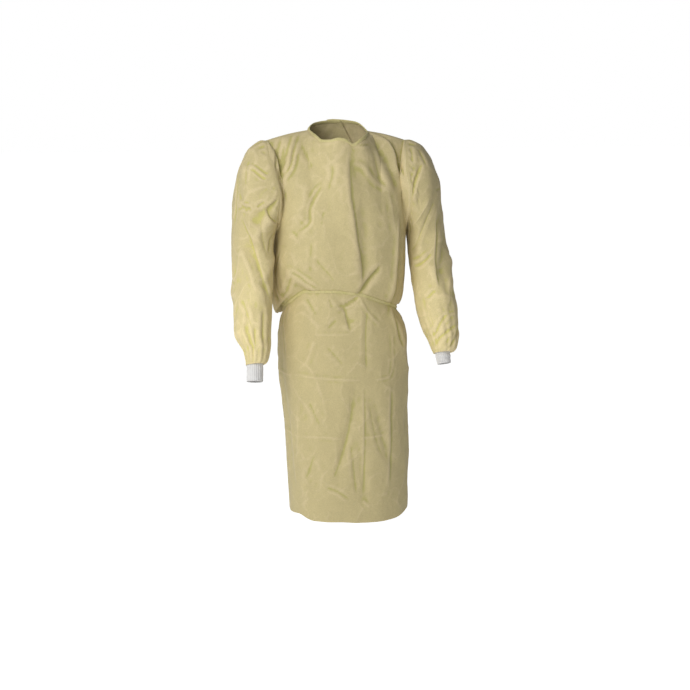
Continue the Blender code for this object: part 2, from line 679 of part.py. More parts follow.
def join_armhole(body, normals, steps, sleeve, sleeve_normal, side):
    """Set the walls' direction round an armhole and step the body and the sleeve apart."""
    loop = armhole_loop(side)
    seam = body[-1][loop]
    inner = body[-2][loop].copy()
    inner[0] = body[-1][side * (TIP - 1) % AROUND]
    outward = normals[-1][loop] + sleeve_normal[0, ::2]
    tangent = np.roll(seam, -1, axis=0) - np.roll(seam, 1, axis=0)
    across, normal = seam_frame(seam, tangent, inner, sleeve[1, ::2], outward)
    sleeve[0] -= with_midpoints(across) * (GAP / 2)
    sleeve_normal[0] = with_midpoints(normal)
    normals[-1][loop] = normal
    steps[loop] += across * (GAP / 2)
    last = side * BACK_TIP % AROUND
    normals[-1][last] = normal[0]
    steps[last] += across[0] * (GAP / 2)


def open_side(points, column, inner_column, neighbours, normals):
    """Step one edge column of a panel back from its side seam."""
    seam = points[:, column].copy()
    tangent = np.gradient(seam, axis=0)
    outward = normals[:, column]
    across, _ = seam_frame(seam, tangent, points[:, inner_column], neighbours, outward)
    points[:, column] += across * (GAP / 2)


def tie_path(body, body_normals, outer, outer_normals, row):
    """The waist row that the tie lies on: once round, over the outer panel's free edge."""
    centre_back = NAPE - UNDERARM
    path = [(outer[row, k], outer_normals[row, k]) for k in range(centre_back, 0, -1)]
    for k in range(UNDERARM, -LAP_RAMP_END - 1, -1):
        lift = LAP_LIFT_AT_TIE * ramp(-k, LAP_RAMP_START, LAP_RAMP_END - 1)
        normal = body_normals[row, k % AROUND]
        path.append((body[row, k % AROUND] + normal * lift, normal))
    path += [(outer[row, k], outer_normals[row, k]) for k in range(-1, -LAP_COLUMNS - 2, -1)]
    return np.array([p for p, _ in path]), np.array([n for _, n in path])


def trim_ends(points, length):
    """A path whose two ends are cut back by a length."""
    trimmed = points.copy()
    for end, following in ((0, 1), (-1, -2)):
        trimmed[end] += unit(points[following] - points[end]) * length
    return trimmed


def make_waist_tie(body, body_normals, outer, outer_normals):
    """The narrow strip that lies in the waist, from the knot once round to the knot."""
    edges = []
    for row in (TIE_BOTTOM_ROW, TIE_BOTTOM_ROW + 1):
        path, normals = tie_path(body, body_normals, outer, outer_normals, row)
        edges.append((trim_ends(path, KNOT_HALF_GAP), normals))
    near = CLOTH / 2 + GAP
    (low, low_normals), (high, high_normals) = edges
    section = (
        low + low_normals * near,
        low + low_normals * (near + TAPE),
        high + high_normals * (near + TAPE),
        high + high_normals * near,
    )
    make_strip("waist_tie", np.stack(section, axis=1), TAPE_YELLOW)


def binding_stop(top, below, top_normal, below_normal):
    """One stop of the binding: the edge point, the way down, and the tape's lower line."""
    span = np.linalg.norm(below - top)
    share = BINDING_DEPTH / span
    normal = unit(top_normal + (below_normal - top_normal) * share)
    return top, (below - top) / span, top_normal, top + (below - top) * share, normal


def neck_stops(front, back_left, back_right):
    """The binding's stops from the right panel's free edge round the front to the left's."""
    neck_point = BACK_NECK_POINT - UNDERARM
    last = NAPE - UNDERARM + LAP_COLUMNS
    pieces = (
        (back_right, range(last - neck_point + 1)),
        (front, range(UNDERARM - NECK_POINT, UNDERARM + NECK_POINT + 1)),
        (back_left, range(neck_point, last + 1)),
    )
    stops = []
    for (points, normals), columns in pieces:
        if stops:
            stops.append(None)
        for c in columns:
            stops.append(binding_stop(points[-1, c], points[-2, c], normals[-1, c], normals[-2, c]))
    points, normals = front
    for place, way in ((stops.index(None), -1), (len(stops) - 1 - stops[::-1].index(None), 1)):
        c = UNDERARM + way * NECK_POINT
        d = c + way
        seam = binding_stop(points[-1, c], points[-1, d], normals[-1, c], normals[-1, d])
        stops[place] = seam
        for beside in (place - 1, place + 1):
            stops[beside] = (*seam[:3], *stops[beside][3:])
    return stops


def make_neck_binding(front, back_left, back_right):
    """The folded tape over the neck edge, an upturned channel along all three panels."""
    stops = neck_stops(front, back_left, back_right)
    top, down, top_normal, low, low_normal = (np.array(rows) for rows in zip(*stops))
    near = CLOTH / 2 + GAP
    far = near + TAPE
    section = (
        top - down * (GAP + TAPE) + top_normal * far,
        low + low_normal * far,
        low + low_normal * near,
        top - down * GAP + top_normal * near,
        top - down * GAP - top_normal * near,
        low - low_normal * near,
        low - low_normal * far,
        top - down * (GAP + TAPE) - top_normal * far,
    )
    make_strip("neck_binding", np.stack(section, axis=1), TAPE_YELLOW, turned=(0, 4))


# A knot with its two hanging ends, from one end over the knot to the other: places across
# and down from the knot's middle, and the half sizes of the strip there.
Knot = namedtuple("Knot", "across down half_width half_thickness")
KNOT = (
    Knot(-0.034, 0.150, 0.0042, 0.0008),
    Knot(-0.028, 0.110, 0.0044, 0.0008),
    Knot(-0.022, 0.070, 0.0044, 0.0008),
    Knot(-0.013, 0.034, 0.0042, 0.0009),
    Knot(-0.007, 0.012, 0.0040, 0.0016),
    Knot(-0.005, 0.003, 0.0062, 0.0040),
    Knot(0.000, 0.000, 0.0070, 0.0046),
    Knot(0.005, 0.003, 0.0062, 0.0040),
    Knot(0.009, 0.013, 0.0040, 0.0016),
    Knot(0.016, 0.036, 0.0042, 0.0009),
    Knot(0.022, 0.074, 0.0044, 0.0008),
    Knot(0.031, 0.112, 0.0044, 0.0008),
    Knot(0.034, 0.140, 0.0042, 0.0008),
)
KNOT_CORNERS = 8
KNOT_REACH = 0.010
CLOTH_NEAR_KNOT, CLOTH_NEAR_ENDS = 0.003, 0.009
CLOTH_STEPS = 20
WAIST_KNOT_STANDS_OFF = 0.0013
WAIST_TAIL_LENGTH, NECK_TAIL_LENGTH = 1.0, 0.8


def finer(grid, steps):
    """A grid with more rows and columns, read along the straight lines between its points."""
    for _ in range(2):
        at = np.linspace(0, len(grid) - 1, (len(grid) - 1) * steps + 1)
        first = np.minimum(at.astype(int), len(grid) - 2)
        share = (at - first)[:, None, None]
        grid = (grid[first] * (1 - share) + grid[first + 1] * share).swapaxes(0, 1)
    return grid


def make_knot(name, cloth, middle, length, under):
    """A plain knot on the cloth at the back, over what lies under it, and its hanging ends."""
    rows = np.array(KNOT)
    across, down, half_width, half_thickness = rows.T
    level = np.stack([middle[0] + across, middle[2] - down * length], axis=1)
    points = finer(cloth, CLOTH_STEPS).reshape(-1, 3)
    path = []
    for place, fall, half in zip(level, down, half_thickness):
        in_knot = fall < KNOT_REACH
        reach = CLOTH_NEAR_KNOT if in_knot else CLOTH_NEAR_ENDS
        near = np.abs(points[:, [0, 2]] - place).max(axis=1) < reach
        off = CLOTH / 2 + GAP + half + (under if in_knot else 0.0)
        path.append((place[0], points[near, 1].max() + off, place[1]))
    path = np.array(path)
    along = unit(np.gradient(path, axis=0))
    wide = unit(np.cross(along, [0.0, 1.0, 0.0]))
    thick = unit(np.cross(wide, along))
    turns = (np.arange(KNOT_CORNERS) + 0.5) * 2 * np.pi / KNOT_CORNERS
    sections = []
    for k, place in enumerate(path):
        sideways = np.cos(turns)[:, None] * wide[k] * half_width[k]
        depth = np.sin(turns)[:, None] * thick[k] * half_thickness[k]
        sections.append(place + sideways + depth)
    make_strip(name, np.array(sections), TAPE_YELLOW)


def make_cuff(name, side):
    """A knitted cuff: ribs run down the outside of a plain tube that starts in the sleeve."""
    seam = (ARM_LEFT if side > 0 else ARM_RIGHT)[-1]
    bands = CUFF_LEFT if side > 0 else CUFF_RIGHT
    columns = 2 * CUFF_RIBS
    turn = np.linspace(0, 2 * np.pi, columns, endpoint=False)
    lean = np.radians(seam.tilt)
    axis = unit(np.array([CUFF_LEAN[name], -np.sin(lean), -np.cos(lean)]))
    ahead = unit(np.cross(axis, [side, 0.0, 0.0])) * side
    across = np.cross(ahead, axis)
    middle = np.array([seam.centre_x, seam.centre_y, seam.height])
    round_way = np.cos(turn)[:, None] * across + np.sin(turn)[:, None] * ahead
    rings = [middle + axis * band.below + round_way * band.radius for band in bands]
    points = np.stack(rings)
    normals = grid_normals(points, True)
    outward = np.sign(np.sum(normals[0, 0] * round_way[0]))
    raised = np.where(np.arange(columns) % 2 == 0, RIB_HEIGHT, 0.0)[None, :, None]
    make_cloth(name, points, normals * outward, KNIT_WHITE, closed=True, raised=raised)


def build_gown():
    """Build every piece of the gown."""
    body = body_grid()
    normals = grid_normals(body, True)
    steps = np.zeros_like(body[-1])
    join_shoulders(body, normals, steps)
    for side, name in ((1, "sleeve_left"), (-1, "sleeve_right")):
        armhole = with_midpoints(body[-1][armhole_loop(side)])
        sleeve = sleeve_with_folds(sleeve_grid(armhole, side), side)
        sleeve_normal = sleeve_normals(sleeve, side)
        join_armhole(body, normals, steps, sleeve, sleeve_normal, side)
        make_cloth(name, sleeve, sleeve_normal, YELLOW, closed=True)
    opened = body.copy()
    opened[-1] += steps

    front_columns = np.arange(-UNDERARM, UNDERARM + 1) % AROUND
    front, front_normals = opened[:, front_columns], normals[:, front_columns]
    back_left = back_panel(opened, normals, 1)
    back_right = back_panel(opened, normals, -1)
    beside_left, beside_right = front[:, -2].copy(), front[:, 1].copy()
    open_side(front, 0, 1, back_right[0][:, -2], front_normals)
    open_side(front, -1, -2, back_left[0][:, 1], front_normals)
    open_side(back_left[0], 0, 1, beside_left, back_left[1])
    open_side(back_right[0], -1, -2, beside_right, back_right[1])
    make_cloth("front", front, front_normals, YELLOW)
    make_cloth("back_left", *back_left, YELLOW)
    make_cloth("back_right", *back_right, YELLOW)
    make_cuff("cuff_left", 1)
    make_cuff("cuff_right", -1)

    make_neck_binding((front, front_normals), back_left, back_right)
    make_waist_tie(body, normals, *back_left)
    outer = back_left[0]
    centre_back = NAPE - UNDERARM
    waist = (outer[TIE_BOTTOM_ROW, centre_back] + outer[TIE_BOTTOM_ROW + 1, centre_back]) / 2
    make_knot("waist_knot", outer, waist, WAIST_TAIL_LENGTH, WAIST_KNOT_STANDS_OFF)
    nape = outer[-1, centre_back] - [0, 0, BINDING_DEPTH / 2]
    make_knot("neck_tie", outer, nape, NECK_TAIL_LENGTH, GAP + TAPE)


def clear_scene():
    """Start from an empty scene."""
    for found in list(bpy.data.objects):
        bpy.data.objects.remove(found, do_unlink=True)


clear_scene()
build_gown()
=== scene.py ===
"""The looks of an isolation gown that hangs hollow, as worn, in metres with +Z up.

The wearer would face -Y, and left and right are the wearer's: the left side is at +X.
Every cloth piece is a thin shell on the form of its solid, with its creases placed one by one.
"""

import logging
import math
from dataclasses import dataclass
from enum import Enum
from functools import partial
from typing import NamedTuple

import bmesh
import bpy
import numpy as np
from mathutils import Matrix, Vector, noise


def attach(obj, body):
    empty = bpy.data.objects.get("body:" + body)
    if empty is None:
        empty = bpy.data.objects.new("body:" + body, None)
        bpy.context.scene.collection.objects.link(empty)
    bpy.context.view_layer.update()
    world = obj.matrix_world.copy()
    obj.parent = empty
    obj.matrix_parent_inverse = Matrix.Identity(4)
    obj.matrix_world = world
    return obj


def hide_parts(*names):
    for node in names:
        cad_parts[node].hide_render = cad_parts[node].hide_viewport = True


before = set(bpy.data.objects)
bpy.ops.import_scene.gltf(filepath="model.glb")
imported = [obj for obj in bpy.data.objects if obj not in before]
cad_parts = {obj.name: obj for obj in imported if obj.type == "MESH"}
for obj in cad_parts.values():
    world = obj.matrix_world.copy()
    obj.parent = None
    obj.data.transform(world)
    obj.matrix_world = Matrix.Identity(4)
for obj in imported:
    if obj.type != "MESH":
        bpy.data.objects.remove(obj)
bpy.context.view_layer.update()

log = logging.getLogger("gown")

Grid = np.ndarray
Colour = tuple[float, float, float]
Material = bpy.types.Material
Piece = bpy.types.Object
Socket = bpy.types.NodeSocket
Tree = bpy.types.NodeTree

TURN = 360.0
MM_PER_METRE = 1000.0
SHARP_ANGLE = math.radians(65)
WHITE = (1.0, 1.0, 1.0)


class Side(Enum):
    """The wearer's sides, by the sign of X."""

    LEFT = 1
    RIGHT = -1


class Face(Enum):
    """The way a crease is looked at: its level axis, and the way that this face looks."""

    FRONT = (0, (0.0, -1.0, 0.0))
    BACK = (0, (0.0, 1.0, 0.0))
    LEFT = (1, (1.0, 0.0, 0.0))
    RIGHT = (1, (-1.0, 0.0, 0.0))


class Profile(Enum):
    """The shape of a crease across its line."""

    RIDGE = "ridge"
    TROUGH = "trough"
    TUCK = "tuck"
    PRESSED = "pressed"


class Section(NamedTuple):
    """A level section of the body, from the hem up to the chest."""

    name: str
    height: float
    follows_tie: float
    droops: float
    centre_x: float
    half_width: float
    front_depth: float
    back_depth: float
    rows_above: int


class Around(NamedTuple):
    """What changes round the body at an angle from the front."""

    angle: float
    tie_height: float
    droop: float
    hem_dip: float


class Run(NamedTuple):
    """A run of body columns that climb to the same edge."""

    edge: str
    first_angle: float
    last_angle: float
    first_place: float
    last_place: float
    columns: int


class Place(NamedTuple):
    """A point of a closed edge, by turn, in millimetres."""

    turn: float
    x: float
    y: float
    z: float


class Ring(NamedTuple):
    """A ring of a sleeve below the cap."""

    name: str
    height: float
    centre_x: float
    centre_y: float
    half_width: float
    half_depth: float
    toe_in: float
    tilt: float
    waves: float
    rows_above: int


class Band(NamedTuple):
    """A ring of a cuff, by distance below the sleeve's seam."""

    below: float
    radius: float


class Fold(NamedTuple):
    """A large soft fold between two turns and heights, in millimetres."""

    first_turn: float
    first_height: float
    last_turn: float
    last_height: float
    width: float
    rise: float


class Crease(NamedTuple):
    """A crease along a path of points in a face's plane, in millimetres."""

    width: float
    rise: float
    path: tuple[tuple[float, float], ...]


class Creases(NamedTuple):
    """Creases of one profile on one face. A path drawn downwards has the higher side of a
    tuck at -X on the front."""

    face: Face
    profile: Profile
    rows: tuple[Crease, ...]


class Tail(NamedTuple):
    """A place on a tied strip: across and down from the knot's middle, with half sizes."""

    across: float
    down: float
    half_width: float
    half_thickness: float


BODY = (
    Section("hem", -1.106, 0, 0, 0.023, 0.178, 0.135, 0.128, 2),
    Section("low skirt", -0.96, 0, 0, 0.019, 0.18, 0.137, 0.13, 2),
    Section("mid skirt", -0.8, 0, 0, 0.012, 0.183, 0.14, 0.136, 2),
    Section("hip", -0.665, 0.15, 0, 0.006, 0.189, 0.143, 0.142, 2),
    Section("below waist", -0.545, 0.6, 0, 0.005, 0.187, 0.138, 0.139, 2),
    Section("under tie", -0.475, 0.95, 0, 0.001, 0.177, 0.13, 0.13, 1),
    Section("tie bottom", -0.4445, 1, 0, -0.003, 0.165, 0.124, 0.123, 1),
    Section("tie top", -0.4355, 1, 0, -0.003, 0.165, 0.124, 0.123, 1),
    Section("over tie", -0.43, 1, 0, -0.004, 0.169, 0.125, 0.129, 1),
    Section("overhang", -0.42, 1, 1, -0.006, 0.175, 0.1265, 0.136, 1),
    Section("blouse", -0.395, 0.9, 0.75, -0.007, 0.185, 0.1315, 0.15, 2),
    Section("ribs", -0.35, 0.4, 0.15, -0.006, 0.191, 0.137, 0.147, 1),
    Section("chest", -0.305, 0, 0, -0.003, 0.189, 0.139, 0.134, 0),
)
TIE_BOTTOM, TIE_TOP = 6, 7
BODY_ROUNDNESS = 2.2
WAIST = (
    Around(-180, -0.515, 0.02, 0),
    Around(-120, -0.506, 0.034, 0.004),
    Around(-98, -0.498, 0.028, 0),
    Around(-78, -0.478, 0.008, -0.004),
    Around(-62, -0.456, 0.002, -0.01),
    Around(-42, -0.431, 0, 0.002),
    Around(-16, -0.43, 0, 0.002),
    Around(8, -0.44, 0, 0.008),
    Around(38, -0.469, 0, 0.011),
    Around(70, -0.493, 0.003, 0),
    Around(100, -0.505, 0.014, -0.003),
    Around(140, -0.513, 0.022, 0.004),
    Around(180, -0.515, 0.02, 0),
)
HEM_DIP_FADE = 0.20
DROOP_SWELL = 0.32
TIE_FRONT = -0.440
HALF = (
    Run("neckline", 0, 26, 0, 90, 6),
    Run("shoulder", 26, 56, 0, 1, 4),
    Run("armhole", 56, 92, 0, 180, 7),
    Run("armhole", 92, 124, 180, 360, 7),
    Run("shoulder", 124, 154, 1, 0, 4),
    Run("neckline", 154, 180, 90, 180, 4),
)
NECK_POINT, TIP, UNDERARM, BACK_TIP, BACK_NECK_POINT, NAPE = 6, 10, 17, 24, 28, 32
AROUND = 2 * NAPE
TOP_ROWS = 8
NECK = (
    Place(-180, -8, 62, 34),
    Place(-135, -68, 42, 27),
    Place(-90, -88.6, 0, 10),
    Place(-68, -75, -35, -6),
    Place(-50, -64, -60, -16),
    Place(-32, -46, -81, -15),
    Place(-16, -26, -89, -10),
    Place(-2, -6, -91, -13),
    Place(12, 14, -92, -26),
    Place(28, 34, -85, -15),
    Place(58, 59, -50, -3),
    Place(90, 73.6, 0, 6),
    Place(135, 54, 42, 26),
)
ARMHOLES = {
    Side.RIGHT: (
        Place(0, -212, 5, -19),
        Place(35, -212, -46, -50),
        Place(70, -201, -74, -102),
        Place(105, -188, -85, -165),
        Place(140, -190, -66, -228),
        Place(180, -192, 2, -268),
        Place(225, -188, 74, -215),
        Place(270, -190, 90, -140),
        Place(315, -206, 62, -60),
    ),
    Side.LEFT: (
        Place(0, 186, 6, -20),
        Place(35, 178, -44, -46),
        Place(70, 172, -72, -95),
        Place(105, 181, -85, -155),
        Place(140, 186, -66, -222),
        Place(180, 190, 2, -264),
        Place(225, 188, 74, -212),
        Place(270, 189, 90, -140),
        Place(315, 190, 62, -60),
    ),
}
SHOULDER_CROWN = 0.003
SHOULDER_RISE = 0.10
NECK_RISE = 0.4
NECK_INWARD, NECK_UPWARD = 0.45, 0.85
NECK_LEAN = 0.6
TIP_LEAN = 0.45
TIP_TURN = 75
CURVE_POINTS = 240
ARRIVAL = 0.65
ARMHOLE_SPREAD = 0.9
ARMHOLE_SPREAD_END = 165.0
BINDING_DEPTH = 0.008
LAP_COLUMNS = 6
LAP_REACH_BODY = 6.0
LAP_REACH_NECK = 0.5
LAP_LIFT = 0.005
LAP_LIFT_AT_TIE = 0.0023
LAP_ROWS_NEAR_TIE = 2
LAP_RAMP_START, LAP_RAMP_END = 20, 25
LAP_RAMP_START_AT_NECK, LAP_RAMP_END_AT_NECK = 28, 31
ARMS = {
    Side.RIGHT: (
        Ring("arm ring", -0.32, -0.257, -0.01, 0.054, 0.076, 0.012, 4, 0, 2),
        Ring("elbow", -0.4, -0.261, -0.03, 0.053, 0.074, 0.013, 14, 0, 2),
        Ring("forearm", -0.475, -0.266, -0.066, 0.052, 0.066, 0.006, 24, 0.0006, 2),
        Ring("low forearm", -0.54, -0.271, -0.103, 0.051, 0.056, 0, 26, 0.0022, 2),
        Ring("gathers", -0.586, -0.264, -0.128, 0.036, 0.042, 0, 24, 0.0032, 1),
        Ring("droop", -0.614, -0.267, -0.141, 0.03, 0.033, 0, 22, 0.002, 1),
        Ring("tuck", -0.621, -0.271, -0.144, 0.0268, 0.028, 0, 21, 0.001, 1),
        Ring("cuff seam", -0.615, -0.272, -0.1416, 0.0233, 0.0233, 0, 21, 0, 0),
    ),
    Side.LEFT: (
        Ring("arm ring", -0.32, 0.2545, -0.006, 0.0585, 0.077, 0.016, 4, 0, 2),
        Ring("elbow", -0.385, 0.26, -0.026, 0.0605, 0.074, 0.014, 14, 0, 2),
        Ring("forearm", -0.452, 0.263, -0.056, 0.06, 0.068, 0.004, 24, 0.0008, 2),
        Ring("low forearm", -0.53, 0.268, -0.096, 0.054, 0.058, 0, 26, 0.0026, 2),
        Ring("gathers", -0.582, 0.274, -0.124, 0.0405, 0.045, 0, 24, 0.0036, 1),
        Ring("droop", -0.607, 0.2735, -0.136, 0.0335, 0.036, 0, 22, 0.0022, 1),
        Ring("tuck", -0.614, 0.269, -0.139, 0.0275, 0.029, 0, 21, 0.001, 1),
        Ring("cuff seam", -0.608, 0.267, -0.1366, 0.023, 0.023, 0, 21, 0, 0),
    ),
}
GATHERS = 14
CAP_ROWS = 9
CAP_FULLNESS = {Side.LEFT: 1.05, Side.RIGHT: 0.90}
CAP_LANDING = 0.95
CAP_OUT_UNDER, CAP_OUT_OVER = 0.4, 0.6
CAP_AHEAD, CAP_DOWN = 0.35, 0.95
CUFFS = {
    Side.RIGHT: (
        Band(-0.01, 0.0208),
        Band(0.004, 0.0212),
        Band(0.018, 0.0215),
        Band(0.034, 0.0217),
        Band(0.054, 0.0214),
    ),
    Side.LEFT: (
        Band(-0.01, 0.0208),
        Band(0.006, 0.0206),
        Band(0.012, 0.019),
        Band(0.017, 0.0204),
        Band(0.024, 0.0188),
        Band(0.038, 0.0184),
    ),
}
CUFF_LEAN = {Side.RIGHT: -0.08, Side.LEFT: 0.05}

BODY_FOLDS = (
    Fold(-3, -50, 6, -415, 20, 7),
    Fold(4, -45, 14, -410, 17, -6.5),
    Fold(18, -40, 37, -160, 18, 5),
    Fold(27, -30, 49, -150, 16, -5),
    Fold(-20, -120, -36, -240, 16, -4.5),
    Fold(-38, -235, -50, -275, 14, -3.5),
    Fold(-46, -30, -62, -130, 14, -6),
    Fold(-37, -20, -58, -150, 14, 5),
    Fold(-58, -375, -30, -418, 15, 6),
    Fold(50, -240, 46, -465, 15, 7.5),
    Fold(57, -240, 53, -465, 14, -6),
    Fold(44, -500, 60, -610, 16, 7),
    Fold(8, -445, 24, -365, 11, -6),
    Fold(7, -450, -8, -475, 11, -5),
    Fold(-8, -478, -2, -520, 12, -4),
    Fold(3, -720, -18, -1000, 16, -5),
    Fold(0, -850, 6, -1060, 14, -4.5),
    Fold(13, -730, 32, -950, 16, -4.5),
    Fold(-62, -640, -52, -1105, 24, 5),
    Fold(-82, -560, -76, -1000, 22, -5),
    Fold(72, -620, 66, -1105, 24, 5),
    Fold(112, -540, 118, -1105, 24, 8),
    Fold(134, -540, 138, -980, 22, -6.5),
    Fold(158, -540, 160, -1105, 24, 7),
    Fold(-116, -550, -120, -1105, 24, 7.5),
    Fold(-140, -540, -144, -960, 22, -6.5),
    Fold(-164, -560, -166, -1105, 22, 6),
    Fold(128, -180, 142, -420, 20, 6.5),
    Fold(-128, -180, -140, -420, 20, 6),
    Fold(166, -120, 174, -420, 18, -5.5),
    Fold(-162, -140, -170, -400, 18, 5.5),
)
SLEEVE_FOLDS = {
    Side.RIGHT: (
        Fold(20, -80, 70, -200, 20, 6),
        Fold(52, -60, 96, -150, 18, -6),
        Fold(110, -220, 70, -290, 20, 6.5),
        Fold(96, -190, 70, -240, 16, -5),
        Fold(30, -300, 100, -450, 20, 7),
        Fold(55, -290, 125, -420, 18, -5.5),
        Fold(150, -330, 90, -400, 18, 5.5),
        Fold(62, -500, 66, -590, 14, -4),
        Fold(-40, -120, -90, -260, 22, 6),
        Fold(-120, -280, -70, -400, 22, 6.5),
        Fold(-60, -300, -110, -420, 20, -5.5),
        Fold(-20, -420, -80, -520, 20, 5),
    ),
    Side.LEFT: (
        Fold(30, -60, 88, -220, 20, 7),
        Fold(54, -60, 112, -200, 18, -7),
        Fold(10, -120, 64, -240, 18, 5),
        Fold(40, -250, 100, -420, 20, 6.5),
        Fold(20, -280, 84, -400, 18, -5.5),
        Fold(0, -330, 60, -440, 18, 5),
        Fold(120, -300, 80, -480, 20, 5.5),
        Fold(10, -450, 50, -450, 16, -4),
        Fold(-40, -120, -96, -260, 22, 6),
        Fold(-120, -280, -64, -400, 22, 6.5),
        Fold(-60, -300, -110, -430, 20, -5.5),
        Fold(-20, -420, -80, -520, 20, 5),
    ),
}
FOLD_FADE_OUT, FOLD_FADE_IN = 0.12, 0.18
BODY_ARC = 0.165
SLEEVE_ARC = 0.066
GATHER_RISE = 0.0022
GATHER_CLEAR, GATHER_AT_FULL = 0.004, 0.025
GATHER_FADES, GATHER_REACH = 0.030, 0.085
GATHER_START, GATHER_FULL = 50.0, 85.0

